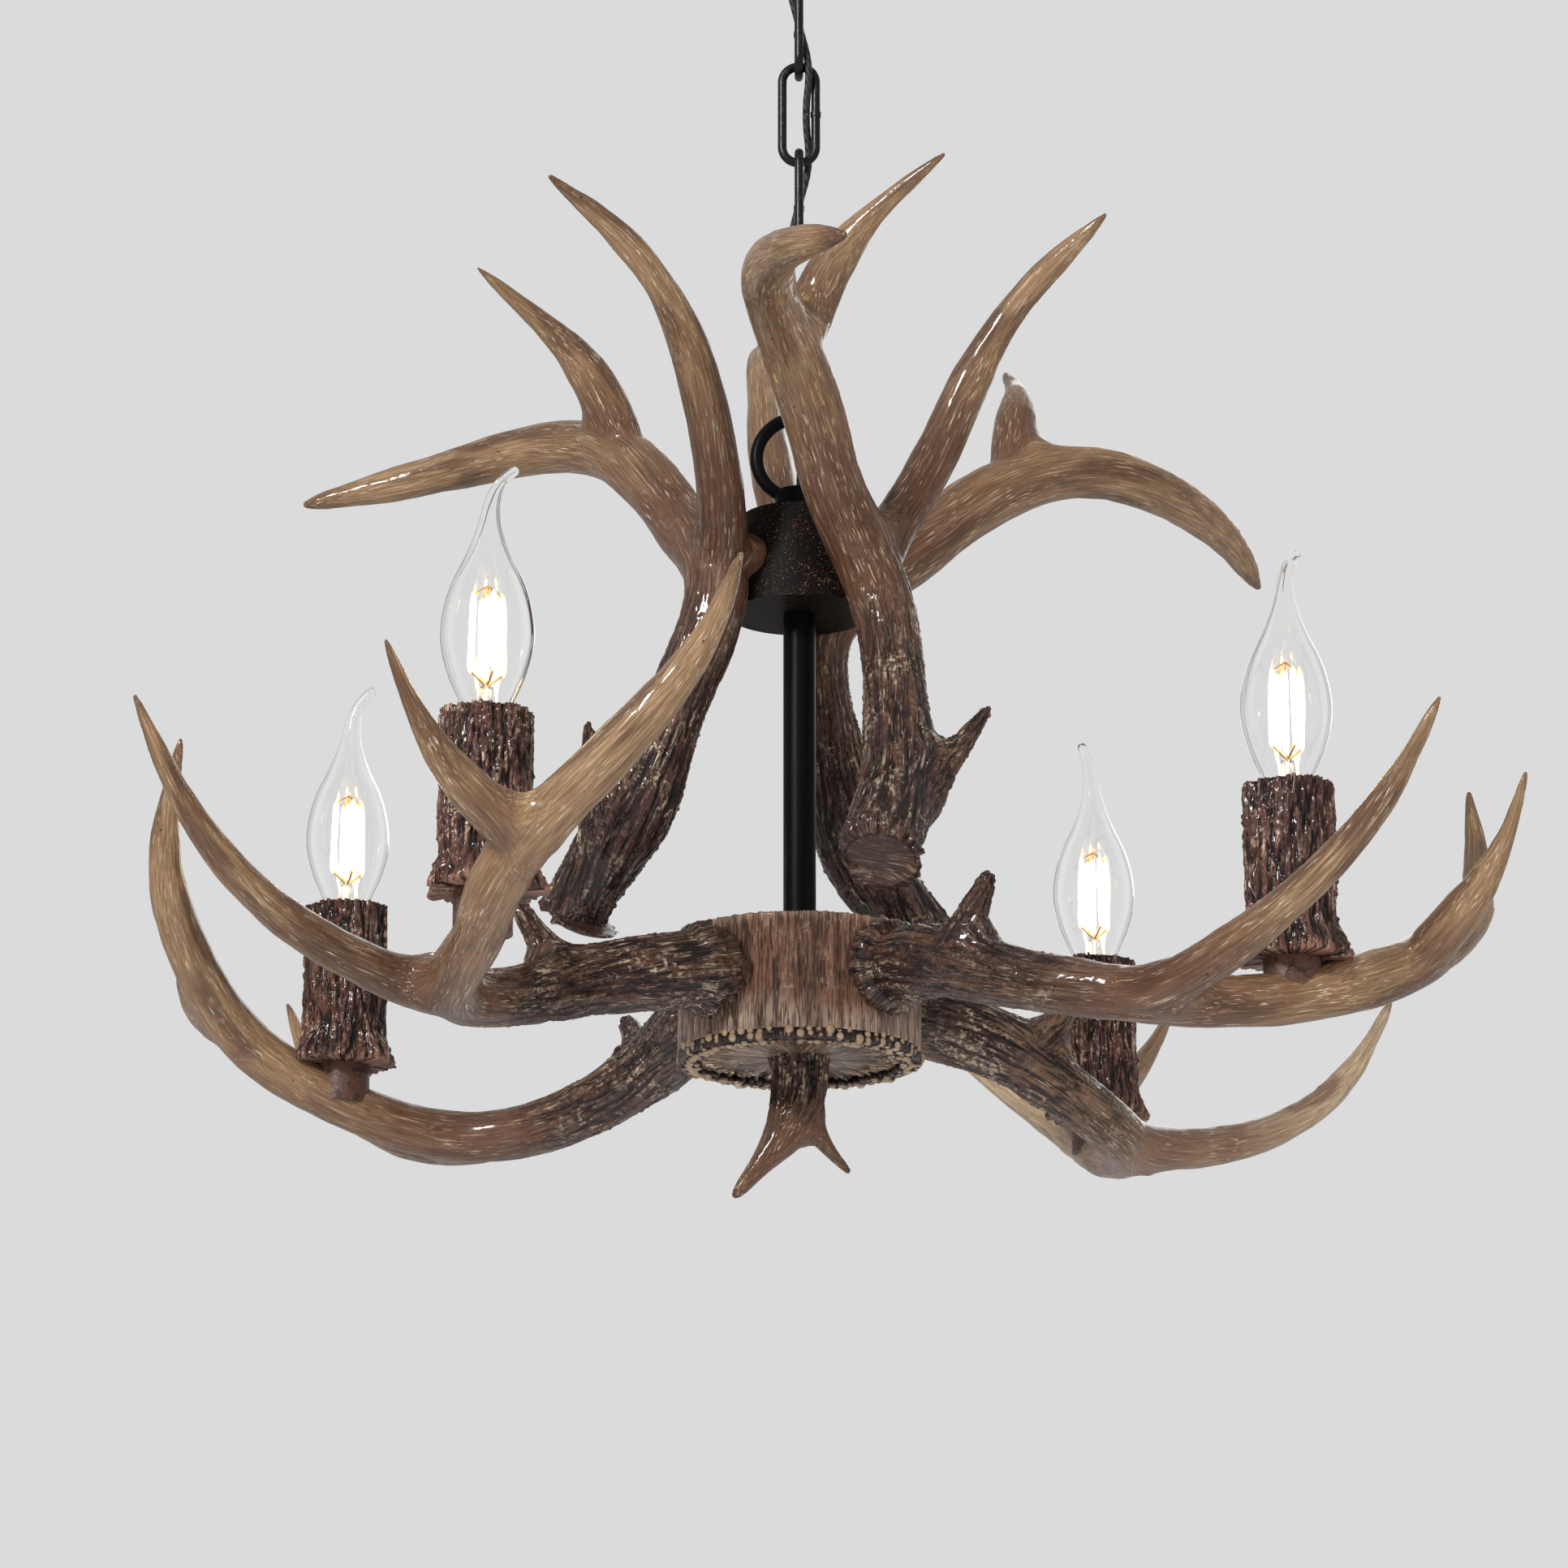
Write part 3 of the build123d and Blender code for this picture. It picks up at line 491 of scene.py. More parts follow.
# metals: size and cover of the patches and of the speckles, colours of base, patches and speckles, then metal
# and roughness of base and patches, bump and shine
metalTable = {
    "rustyMetal": (
        0.006, 0.3, 0.0005, 0.32, (17, 12, 12), (52, 33, 27), (156, 124, 102),
        (0.0, 0.0), (0.5, 0.7), 0.0003, 0.06),
    "blackMetal": (
        0.012, 0.2, 0.0006, 0.05, (11, 11, 11), (15, 15, 15), (28, 28, 27),
        (0.0, 0.0), (0.36, 0.44), 0.00003, 0.06),
    "chainBronze": (
        0.004, 0.35, 0.0007, 0.25, (20, 18, 18), (50, 35, 30), (106, 78, 62),
        (0.3, 0.1), (0.34, 0.6), 0.00012, 0.4),
    "saddleBrown": (
        0.004, 0.5, 0.0009, 0.3, (78, 52, 42), (50, 33, 28), (140, 108, 86),
        (0.0, 0.0), (0.42, 0.6), 0.0004, 0.4),
    "zincSteel": (
        0.004, 0.45, 0.0008, 0.1, (176, 178, 180), (158, 161, 164), (120, 118, 112),
        (0.95, 0.9), (0.32, 0.44), 0.00004, 0.5),
    "brassTrim": (
        0.006, 0.4, 0.0007, 0.15, (196, 160, 96), (170, 132, 76), (112, 84, 52),
        (0.95, 0.85), (0.3, 0.45), 0.00004, 0.5),
    "holderPlastic": (
        0.01, 0.3, 0.0005, 0.1, (224, 222, 214), (214, 211, 202), (196, 192, 182),
        (0.0, 0.0), (0.45, 0.52), 0.00003, 0.5),
}


def metalLook(row):
    labels = ("Patch Size", "Patch Cover", "Speckle Size", "Speckle Cover", "Base", "Patch", "Speckle",
              "metal", "rough", "bump", "shine")
    return dict(zip(labels, row))


metals = {name: metalMaterial(name, metalLook(row)) for name, row in metalTable.items()}


def hubFaceMaterial():
    # the hub's lid, with streaks that run out from the middle
    material, graph, shader = newMaterial("hubFace")
    parts = graph.add("ShaderNodeSeparateXYZ", {0: graph.place()}).outputs
    bearing = graph.math("ARCTAN2", parts[1], parts[0])
    reach = graph.math("SQRT", graph.math("POWER", parts[0], 2.0) + graph.math("POWER", parts[1], 2.0))
    around = graph.wire("ShaderNodeCombineXYZ", {
        0: graph.math("COSINE", bearing), 1: graph.math("SINE", bearing), 2: reach})
    streak = graph.noise(graph.vector("MULTIPLY", around, (22.0, 22.0, 60.0)), 1.0, 4.0, 0.6)
    dark, light = colour(66, 48, 40), colour(140, 112, 88)
    graph.feed(shader.inputs, {
        "Base Color": graph.blendColour(graph.smooth(streak, 0.36, 0.64), dark, light),
        "Roughness": graph.mix(streak, 0.62, 0.42)})
    addBump(graph, shader, streak, 0.0009)
    return material


def cordMaterial():
    # black sheath with a fine twisted thread
    material, graph, shader = newMaterial("cordBlack")
    along = graph.wire("ShaderNodeAttribute", output="Fac", attribute_name="twist")
    thread = graph.math("SINE", along) * 0.5 + 0.5
    graph.feed(shader.inputs, {
        "Base Color": graph.blendColour(thread, colour(14, 14, 15), colour(34, 33, 34)),
        "Roughness": graph.mix(thread, 0.68, 0.48)})
    addBump(graph, shader, thread, 0.0003)
    return material


def glassMaterial(name, edge, thick, paintedSheen):
    # clear glass, greyer towards its edges as painted shade, with a soft pale band inside them that glows as
    # a painted reflection
    material, graph, shader = newMaterial(name, **{
        "Transmission Weight": 1.0, "IOR": 1.45, "Metallic": 0.0, "Emission Strength": paintedSheen})
    black, white = colour(0, 0, 0), colour(255, 255, 255)
    facing = graph.wire("ShaderNodeLayerWeight", {"Blend": 0.5}, "Facing")
    paintedReflectionBand = graph.smooth(facing, 0.3, 0.5) - graph.smooth(facing, 0.55, 0.72)
    # the edge colour at grazing angles is painted shade; the glowing band is a painted reflection
    graph.feed(shader.inputs, {
        "Base Color": graph.blendColour(graph.smooth(facing, 0.66, 0.98), white, edge),
        "Emission Color": graph.blendColour(paintedReflectionBand, black, white),
        "Roughness": graph.mix(graph.noise(graph.place(), 30.0), 0.0, thick)})
    return material


def glowMaterial():
    # filament: a yellow coating that glows brightest along its middle
    material, graph, shader = newMaterial("filamentGlow", **{"Emission Strength": 14.0, "Roughness": 0.5})
    along = graph.wire("ShaderNodeAttribute", output="Fac", attribute_name="along")
    ends = graph.smooth(along, 0.0, 0.12) * (1.0 - graph.smooth(along, 0.88, 1.0))
    shade = graph.blendColour(ends, colour(255, 176, 70), colour(255, 224, 160))
    graph.feed(shader.inputs, {"Emission Color": shade, "Base Color": shade})
    return material


hubFace = hubFaceMaterial()
cordBlack = cordMaterial()
# edge colours: painted shade at the glass edges; last value: strength of the painted reflection band
lampGlass = glassMaterial("lampGlass", colour(96, 99, 104), 0.01, 0.04)
stemGlass = glassMaterial("stemGlass", colour(190, 170, 130), 0.05, 0.0)
filamentGlow = glowMaterial()
copperWire = metalMaterial("copperWire", dict(
    metalLook(metalTable["brassTrim"]), Base=(222, 176, 116), Patch=(196, 146, 90)))
print("materials made:", len(bpy.data.materials))


# limbs: distance from the axis, reach to the left of the bearing, height above the hub's bottom, radius,
# in millimetres
limbs = {
    "lowerBeam": [
        (44, -3, 30, 15.4), (78, -20, 23, 14.6), (112, -31, 12, 12.6), (147, -31, 1, 11.2),
        (185, -19, -5, 10.6), (209, 8, -2, 10.0), (230, 37, 9, 10.2), (243, 65, 25, 10.2),
        (242, 95, 46, 9.2), (236, 120, 69, 7.8), (226, 135, 96, 5.6), (217, 141, 125, 1.9),
    ],
    "lowerLongTine": [
        (170, -26, -3, 8.5), (192, -26, -5, 9.2), (215, -30, -2, 8.7), (243, -37, 6, 7.7),
        (269, -42, 18, 6.8), (293, -45, 35, 5.8), (312, -47, 56, 4.6), (327, -49, 79, 1.9),
    ],
    "lowerInnerTine": [
        (241, 62, 20, 8.4), (256, 63, 31, 8.2), (272, 59, 43, 7.9), (290, 54, 63, 4.6), (302, 49, 88, 1.7),
    ],
    "lowerBrowTine": [(96, -29, 14, 9.0), (105, -34, 22, 8.6), (114, -38, 32, 6.5), (123, -41, 43, 4.3)],
    "upperBeam": [
        (86, -18, 60, 15.6), (73, -2, 91, 15.8), (58, 9, 123, 14.2), (45, 15, 156, 12.4),
        (36, 14, 188, 13.0), (43, -5, 212, 12.8), (57, -26, 235, 12.4), (75, -49, 259, 12.4),
        (100, -76, 272, 11.0), (138, -101, 271, 9.5), (174, -113, 264, 7.5), (212, -116, 255, 2.3),
    ],
    "upperTallTine": [
        (36, 12, 194, 9.5), (34, 22, 214, 10.0), (37, 36, 238, 9.3), (48, 51, 278, 8.2),
        (70, 65, 313, 5.8), (104, 80, 339, 1.9),
    ],
    "upperShortTine": [
        (71, -46, 256, 9.0), (80, -47, 276, 9.0), (94, -43, 298, 8.3), (114, -34, 316, 4.8),
        (137, -21, 332, 1.6),
    ],
    "upperBrowTine": [(78, -2, 82, 9.5), (81, 10, 97, 7.8), (84, 22, 114, 4.8), (85, 33, 129, 2.4)],
}
# paleness of each limb where it starts and at its tip
paleness = {
    "lowerBeam": (0.0, 1.0), "lowerLongTine": (0.4, 1.0), "lowerInnerTine": (0.6, 1.0),
    "lowerBrowTine": (0.0, 0.2), "upperBeam": (0.0, 0.9), "upperTallTine": (0.3, 1.0),
    "upperShortTine": (0.45, 0.95), "upperBrowTine": (0.0, 0.15),
}
# how far each limb is drawn in at its tip
tapers = {"upperBeam": 0.35, "lowerBrowTine": 0.2, "upperBrowTine": 0.3, "finialStem": 0.3}
antlerSettings = {
    "voxel": 0.00088, "smoothing": 8, "grainRadius": 0.012, "webReach": 0.015, "webSteps": 3,
    "taper": 0.5, "taperLength": 0.045,
    "collars": {"lowerBeam": (0.009, 0.012), "upperBeam": (0.004, 0.007)},
    "lowerSets": [(232.0, 0.0, 1.0), (321.0, -7.0, -1.0), (48.0, 2.0, -1.0), (142.0, 5.0, 1.0)],
    "upperSets": [(180.5, -3.5, 1.0), (302.5, 0.0, 0.0), (69.0, 4.0, -1.0)],
    "lowerRoot": (46, 0, 32), "upperRoot": (80, 0, 45),
    "hubRadius": 0.0485, "cupTaper": 0.0049, "paleNode": "antler_lower_3",
}
antlerRelief = {
    "Groove Depth": 0.0014, "Groove Width": 0.0038, "Groove Stretch": 12.0, "Pearl Depth": 0.0007,
    "Pearl Width": 0.0032, "Burr Depth": 0.0025, "Burr Width": 0.0032, "Lump Depth": 0.0018,
    "Lump Width": 0.024,
}
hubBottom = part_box("hub_shell")[0].z - 0.003


def setting(spec, root):
    bearing, roll, pitch = (radians(a) for a in spec)
    pivot = Matrix.Translation(Vector(root) * mm)
    turned = pivot @ Matrix.Rotation(-pitch, 4, "Y") @ Matrix.Rotation(roll, 4, "X") @ pivot.inverted()
    return Matrix.Translation((0, 0, hubBottom)) @ Matrix.Rotation(bearing, 4, "Z") @ turned


def samplePath(rows, step=0.0015):
    # a smooth line through the rows, each x, y, z and radius
    rows = np.array(rows, float)
    knots = runLengths(rows[:, :3])
    slopes = np.gradient(rows, knots, axis=0)
    at = np.linspace(0, knots[-1], int(knots[-1] / step) + 2)
    k = np.clip(np.searchsorted(knots, at, "right") - 1, 0, len(knots) - 2)
    span = (knots[k + 1] - knots[k])[:, None]
    u = (at[:, None] - knots[k][:, None]) / span
    return (rows[k] * (1 + 2 * u) * (1 - u) ** 2 + slopes[k] * span * u * (1 - u) ** 2
            + rows[k + 1] * u ** 2 * (3 - 2 * u) + slopes[k + 1] * span * u ** 2 * (u - 1))


def pathFrames(points):
    # direction and two square sides at each point, without twist
    along = np.gradient(points, axis=0)
    along /= np.linalg.norm(along, axis=1)[:, None]
    side = np.array([0.0, 1.0, 0.0]) if abs(along[0, 1]) < 0.9 else np.array([1.0, 0.0, 0.0])
    sides = []
    for direction in along:
        side = side - direction * side.dot(direction)
        side = side / np.linalg.norm(side)
        sides.append(side)
    sides = np.array(sides)
    return along, sides, np.cross(along, sides)


def limbRows(name, place):
    return [(*(place @ (Vector(row[:3]) * mm)), row[3] * mm) for row in limbs[name]]


def nearestOn(middle, points):
    return np.concatenate([
        np.argmin((middle ** 2).sum(1) - 2 * part @ middle.T, axis=1)
        for part in np.array_split(points, len(points) // 8000 + 1)])


def limbDistance(points, path):
    # distance from the limb's surface, and the direction away from its axis
    nearest = nearestOn(path[:, :3], points)
    offset = points - path[nearest, :3]
    away = np.linalg.norm(offset, axis=1)
    return away - path[nearest, 3], offset / np.maximum(away, 1e-9)[:, None]


def limbCoordinates(points, rows, radius):
    # for each point: how near it is in radii, its grain coordinates, its places, and its offset from the axis
    path = samplePath(rows)
    middle = path[:, :3]
    along, sides, ups = pathFrames(middle)
    lengths = runLengths(middle)
    nearest = nearestOn(middle, points)
    offset = points - middle[nearest]
    reach = np.linalg.norm(offset, axis=1) / path[nearest, 3]
    ahead = (offset * along[nearest]).sum(1)
    angle = np.arctan2((offset * ups[nearest]).sum(1), (offset * sides[nearest]).sum(1))
    place = lengths[nearest] + ahead
    wide = np.minimum(np.linalg.norm(offset, axis=1), radius)
    grain = np.stack([np.cos(angle) * wide, np.sin(angle) * wide, place], axis=1)
    return {"reach": reach, "grain": grain, "share": np.clip(place / lengths[-1], 0, 1), "place": place,
            "fromTip": lengths[-1] - place, "offset": offset}


def fillWebs(piece, paths, guard, settings):
    # draws the surface out between limbs that part, so that forks are webbed and not creased
    points = vertexArray(piece.data)
    kept = guard(points, 0.012)
    start = None
    for _ in range(settings["webSteps"]):
        found = [limbDistance(points, path) for path in paths]
        distances = np.array([f[0] for f in found])
        ways = np.array([f[1] for f in found])
        order = np.argsort(distances, axis=0)
        each = np.arange(len(points))
        near, far = distances[order[0], each], distances[order[1], each]
        first, second = ways[order[0], each], ways[order[1], each]
        parting = ramp(1 - (first * second).sum(1), 0.25, 0.9) * kept
        left = np.clip(settings["webReach"] - (far - near), 0, None)
        share = left / (2 * settings["webReach"])
        field = near - parting * left * share / 2
        if start is None:
            start = near
        slope = first * (1 - share)[:, None] + second * share[:, None]
        length = np.maximum((slope ** 2).sum(1), 0.12)
        move = np.clip((start - field) / length, 0, 0.006) * (parting > 0.001)
        points = points + slope * move[:, None]
    movePoints(piece.data, points)


def cadCopy(node, name, settings, paths, guard):
    # an even mesh over the CAD shape, so that it can be carved
    mesh = nodes[node].data.copy()
    merged = bmesh.new()
    merged.from_mesh(mesh)
    bmesh.ops.remove_doubles(merged, verts=merged.verts, dist=1e-6)
    merged.to_mesh(mesh)
    merged.free()
    mesh.materials.clear()
    piece = addObject(name, mesh)
    for rounds in (0, settings["smoothing"]):
        remesh = piece.modifiers.new("voxels", "REMESH")
        remesh.mode = "VOXEL"
        remesh.voxel_size = settings["voxel"]
        if rounds:
            soften = piece.modifiers.new("soften", "SMOOTH")
            soften.factor = 0.5
            soften.iterations = rounds
        settle(piece)
        if not rounds:
            fillWebs(piece, paths, guard, settings)
    return piece


def carve(piece, place, names, guard, relief, material, seed):
    # gives the piece its grain coordinates from the limbs it is made of, then its relief
    points = vertexArray(piece.data)
    found = []
    for index, name in enumerate(names):
        limb = limbCoordinates(points, limbRows(name, place), antlerSettings["grainRadius"])
        low, high = paleness[name]
        limb["pale"] = (low + (high - low) * ramp(limb["share"], 0.06, 0.8)) * (
            1 - 0.3 * ramp(limb["share"], 0.94, 0.99))
        limb["moved"] = limb["grain"] + np.array([seed * 0.37, index * 0.53, seed * 1.9])
        tip = 1 - ramp(limb["fromTip"], 0.0, antlerSettings["taperLength"])
        taper = tapers.get(name, antlerSettings["taper"]) * tip
        limb["drawn"] = -limb["offset"] * taper[:, None]
        found.append(limb)
    beam, tines = found[0], found[1:]
    each = np.arange(len(points))
    closest = np.argmin([limb["reach"] for limb in tines], axis=0)

    def ofTine(key):
        return np.array([limb[key] for limb in tines])[closest, each]

    blend = ramp(ofTine("reach") - beam["reach"], -0.4, 0.4)
    pale = beam["pale"] * blend + ofTine("pale") * (1 - blend)
    moved = points + beam["drawn"] * blend[:, None] + ofTine("drawn") * (1 - blend)[:, None]
    collar = antlerSettings["collars"].get(names[0])
    cut, burr = np.zeros(len(points)), np.zeros(len(points))
    if collar:
        cut = (1 - ramp(beam["place"], 0.0006, 0.002)) * (1 - ramp(beam["reach"], 0.86, 0.96))
        burr = (1 - ramp(beam["place"], *collar)) * ramp(beam["reach"], 0.84, 0.98) * (1 - cut)
    across = np.column_stack([beam["grain"][:, 0], np.zeros(len(points)), beam["grain"][:, 1]])
    movePoints(piece.data, moved)
    storeValues(
        piece.data, grainA=np.where(cut[:, None] > 0.5, across, beam["moved"]),
        grainB=np.where(cut[:, None] > 0.5, across, ofTine("moved")), blend=blend, pale=pale - 0.3 * cut,
        rough=(1 - 0.92 * ramp(pale, 0.05, 0.42)) * (1 - 0.8 * cut), burr=burr,
        guard=guard(points, 0.0015) * (1 - cut))
    applyTree(piece, reliefTree, dict(relief, Material=material))


def hubGuard(points, reach):
    return ramp(axisReach(points) - antlerSettings["hubRadius"], 0.0002, reach)


def cupGuard(points, reach):
    low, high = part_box("upper_cup")
    share = np.clip((points[:, 2] - low.z) / (high.z - low.z), 0, 1)
    near = ramp(axisReach(points) - (high.x - antlerSettings["cupTaper"] * share), 0.0002, reach)
    return np.where((points[:, 2] > low.z - reach) & (points[:, 2] < high.z + reach), near, 1.0)


def makeCarved(node, name, kind, place, guard, settings, relief, material, seed):
    names = [limb for limb in limbs if limb.startswith(kind)]
    paths = [samplePath(limbRows(limb, place)) for limb in names]
    piece = cadCopy(node, name, settings, paths, guard)
    carve(piece, place, names, guard, relief, material, seed)
    finishPiece(piece, "fixture", node)
    print(name, len(piece.data.polygons) * 2, "triangles")


def makeAntlers():
    for kind, guard, seed in (("lower", hubGuard, 0), ("upper", cupGuard, 10)):
        for number, spec in enumerate(antlerSettings[kind + "Sets"], start=1):
            node = f"antler_{kind}_{number}"
            place = setting(spec, antlerSettings[kind + "Root"])
            material = paleAntlerResin if node == antlerSettings["paleNode"] else antlerResin
            makeCarved(node, f"{kind}Antler_{number}", kind, place, guard, antlerSettings, antlerRelief,
                       material, seed + number)


makeAntlers()
print("antlers made")


# finial: a small forked antler tip under the hub
limbs["finialStem"] = [(0, 0, 3, 13.0), (0, 0, -9, 11.2), (-2, -1, -21, 10.6), (-11, -4, -37, 7.2),
                       (-25, -8, -55, 2.6)]
limbs["finialProng"] = [(1, 0, -13, 8.5), (4, 1, -23, 7.6), (10, 3, -33, 5.2), (19, 6, -43, 2.2)]
paleness.update({"finialStem": (0.0, 0.55), "finialProng": (0.15, 0.55)})
finialSettings = {"voxel": 0.0006, "smoothing": 6, "webReach": 0.005, "webSteps": 3}
finialRelief = dict(antlerRelief, **{
    "Groove Depth": 0.0017, "Groove Width": 0.0038, "Burr Depth": 0.0, "Lump Depth": 0.0012})


def makeFinial():
    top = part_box("finial")[1].z

    def guard(points, reach):
        return 1 - ramp(points[:, 2], top - reach, top - 0.0002)

    makeCarved("finial", "finialTip", "finial", Matrix.Translation((0, 0, hubBottom)), guard,
               finialSettings, finialRelief, antlerResin, 31)


makeFinial()


def ringFaces(rings, around, closed=False):
    # faces between each ring of points and the next
    faces = []
    for i in range(rings if closed else rings - 1):
        after = (i + 1) % rings
        for j in range(around):
            k = (j + 1) % around
            faces.append((i * around + j, i * around + k, after * around + k, after * around + j))
    return faces


def ringTurns(sides, ups, around):
    # the angles of a ring's points, and their directions round each point of a line
    angles = np.linspace(0, 2 * pi, around, endpoint=False)
    return angles, (np.cos(angles)[None, :, None] * sides[:, None]
                    + np.sin(angles)[None, :, None] * ups[:, None])


# turned pieces: a closed profile of radius and height swept round an upright axis
def turnedPiece(name, profile, around, axis, swell=None):
    angles = np.linspace(0, 2 * pi, around, endpoint=False)
    radius = np.array([row[0] for row in profile])[:, None] + np.zeros(around)
    height = np.array([row[1] for row in profile])[:, None] + np.zeros(around)
    if swell is not None:
        radius = radius + swell(height, angles[None, :])
    x = axis[0] + radius * np.cos(angles)
    y = axis[1] + radius * np.sin(angles)
    vertices = np.stack([x, y, axis[2] + height], axis=2).reshape(-1, 3)
    piece = newPiece(name, vertices, ringFaces(len(profile), around, closed=True))
    turn = np.tile(angles, len(profile))
    grain = np.column_stack([np.cos(turn) * profile[0][0], np.sin(turn) * profile[0][0], height.ravel()])
    storeValues(
        piece.data, grainA=grain + np.array([0, 0, axis[0] * 11 + axis[1] * 7]), grainB=grain, blend=1.0,
        guard=np.repeat([row[2] for row in profile], around))
    return piece, height.ravel()


# candle sleeves: bark round a tube, with a flared, lobed foot
sleeveSettings = {
    "around": 220, "rows": 130, "radius": 0.0172, "bore": 0.0144, "hole": 0.0051, "floor": 0.004,
    "footRadius": 0.0205, "footHeight": 0.015, "lobes": 7, "lobeDepth": 0.0019,
}
sleeveRelief = {
    "Groove Depth": 0.0021, "Groove Width": 0.0058, "Groove Stretch": 5.0, "Pearl Depth": 0.0008,
    "Pearl Width": 0.003, "Burr Depth": 0.0014, "Burr Width": 0.0036, "Lump Depth": 0.0018,
    "Lump Width": 0.014,
}


def makeSleeve(number):
    s = sleeveSettings
    node = f"candle_sleeve_{number}"
    low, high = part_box(node)
    tall = high.z - low.z
    axis = ((low.x + high.x) / 2, (low.y + high.y) / 2, low.z)
    outer = []
    for z in np.linspace(0, tall, s["rows"]):
        flare = (1 - ramp(np.array(z), 0.002, s["footHeight"])) * (s["footRadius"] - s["radius"])
        outer.append((s["radius"] + float(flare), z, 1.0))
    inner = [(s["bore"], tall, 0.0), (s["bore"], s["floor"], 0.0), (s["hole"], s["floor"], 0.0),
             (s["hole"], 0.0, 0.0)]

    def swell(height, angles):
        foot = 1 - ramp(height, 0.0, s["footHeight"])
        turned = angles - radians(antlerSettings["lowerSets"][number - 1][0])
        waves = 0.5 * np.sin(turned * 3 + number) - np.cos(turned * s["lobes"])
        outside = np.zeros_like(height)
        outside[:s["rows"]] = 1
        return waves * foot * outside * s["lobeDepth"]

    piece, height = turnedPiece(f"barkSleeve_{number}", outer + inner, s["around"], axis, swell)
    edge = 1 - ramp(height, 0.001, 0.006)
    storeValues(piece.data, pale=0.28 + 0.36 * edge, rough=1.0, burr=edge * 0.8)
    applyTree(piece, reliefTree, dict(sleeveRelief, Material=barkResin))
    finishPiece(piece, "fixture", node)


lampNumbers = range(1, 5)
for number in lampNumbers:
    makeSleeve(number)
print("sleeves made")


# hub shell with upright grain, and the ring of beads under it
hubSettings = {"around": 320, "rows": 50, "wall": 0.003, "inset": 0.0003}
hubRelief = {
    "Groove Depth": 0.0005, "Groove Width": 0.003, "Groove Stretch": 12.0, "Pearl Depth": 0.0001,
    "Pearl Width": 0.003, "Burr Depth": 0.0009, "Burr Width": 0.003, "Lump Depth": 0.0004,
    "Lump Width": 0.012,
}


def makeHubShell():
    s = hubSettings
    low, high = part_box("hub_shell")
    tall = high.z - low.z
    outer = [(high.x - s["inset"], z, 1.0) for z in np.linspace(0, tall, s["rows"])]
    inner = [(high.x - s["wall"], tall, 0.0), (high.x - s["wall"], 0.0, 0.0)]
    piece, height = turnedPiece("hubBarrel", outer + inner, s["around"], (0, 0, low.z))
    edge = ramp(height, tall - 0.005, tall)
    foot = 1 - ramp(height, 0.0, 0.02)
    storeValues(piece.data, pale=0.38 + 0.4 * edge + 0.55 * foot, rough=0.65, burr=edge * 0.7)
    applyTree(piece, reliefTree, dict(hubRelief, Material=hubResin))
    finishPiece(piece, "fixture", "hub_shell")


makeHubShell()

# disc under the hub, with grooves that run in from its rim
discSettings = {"around": 300, "rows": 44, "radius": 0.0425, "hole": 0.0042, "drop": 0.0021, "plate": 0.003}
discRelief = dict(hubRelief, **{
    "Groove Depth": 0.0032, "Groove Width": 0.0062, "Groove Stretch": 5.0, "Pearl Depth": 0.0005,
    "Burr Depth": 0.0008, "Burr Width": 0.0034})


def makeHubDisc():
    s = discSettings
    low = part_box("hub_base")[0].z
    top = s["plate"] + s["drop"]
    under = [(r, 0.0, 1.0) for r in np.linspace(s["hole"], s["radius"], s["rows"])]
    profile = under + [(s["radius"], top, 0.0), (s["hole"], top, 0.0)]
    piece, height = turnedPiece("hubDisc", profile, s["around"], (0, 0, low - s["drop"]))
    points = vertexArray(piece.data)
    reach = axisReach(points)
    turn = np.arctan2(points[:, 1], points[:, 0])
    grain = np.column_stack([np.cos(turn), np.sin(turn), reach / s["radius"]]) * s["radius"]
    outward = ramp(reach, 0.016, s["radius"])
    rough = 0.25 + 0.75 * outward
    storeValues(
        piece.data, grainA=grain, grainB=grain, pale=0.5 + 0.3 * (1 - outward), rough=rough,
        burr=ramp(reach, 0.036, 0.041), guard=np.where(height < 0.001, rough, 0.0))
    applyTree(piece, reliefTree, dict(discRelief, Material=discResin))
    finishPiece(piece, "fixture", "hub_base")


makeHubDisc()

beadSettings = {
    "Beads": 76, "Bead Size": 0.0019, "Jitter": 0.0007, "seed": 4,
    "rows": ((0.0466, 0.0004), (0.0468, 0.0026), (0.0438, -0.0004), (0.0412, 0.0002)),
    "outer": 0.0476, "inner": 0.0425, "foot": 0.0006, "rise": 0.0012, "around": 160,
}


def buildBeadTree():
    graph, given, result = newGroup("beadRow", "GeometryNodeTree", {
        "Geometry": "Geometry", "Beads": 60, "Radius": 0.046, "Height": 0.0, "Bead Size": 0.002,
        "Jitter": 0.0006, "Seed": 1, "Material": "Material",
    }, {"Geometry": "Geometry"})
    circle = graph.wire("GeometryNodeMeshCircle", {"Vertices": given["Beads"], "Radius": given["Radius"]})
    wander = graph.wire("FunctionNodeRandomValue", {
        "Min": (-1.0, -1.0, -1.0), "Max": (1.0, 1.0, 1.0), "Seed": given["Seed"]}, data_type="FLOAT_VECTOR")
    lift = graph.wire("ShaderNodeCombineXYZ", {2: given["Height"]})
    offset = graph.vector("ADD", graph.scaled(wander, given["Jitter"]), lift)
    placed = graph.wire("GeometryNodeSetPosition", {"Geometry": circle, "Offset": offset})
    bead = graph.wire("GeometryNodeMeshIcoSphere", {"Radius": given["Bead Size"], "Subdivisions": 2})
    size = graph.wire("FunctionNodeRandomValue", {2: 0.62, 3: 1.15, "Seed": given["Seed"]}, 1,
                      data_type="FLOAT")
    spread = graph.wire("GeometryNodeInstanceOnPoints", {"Points": placed, "Instance": bead, "Scale": size})
    joined = graph.wire("GeometryNodeJoinGeometry", {0: given["Geometry"]})
    graph.feed(joined.socket.node.inputs, {0: spread})
    return endTree(graph, joined, given, result)


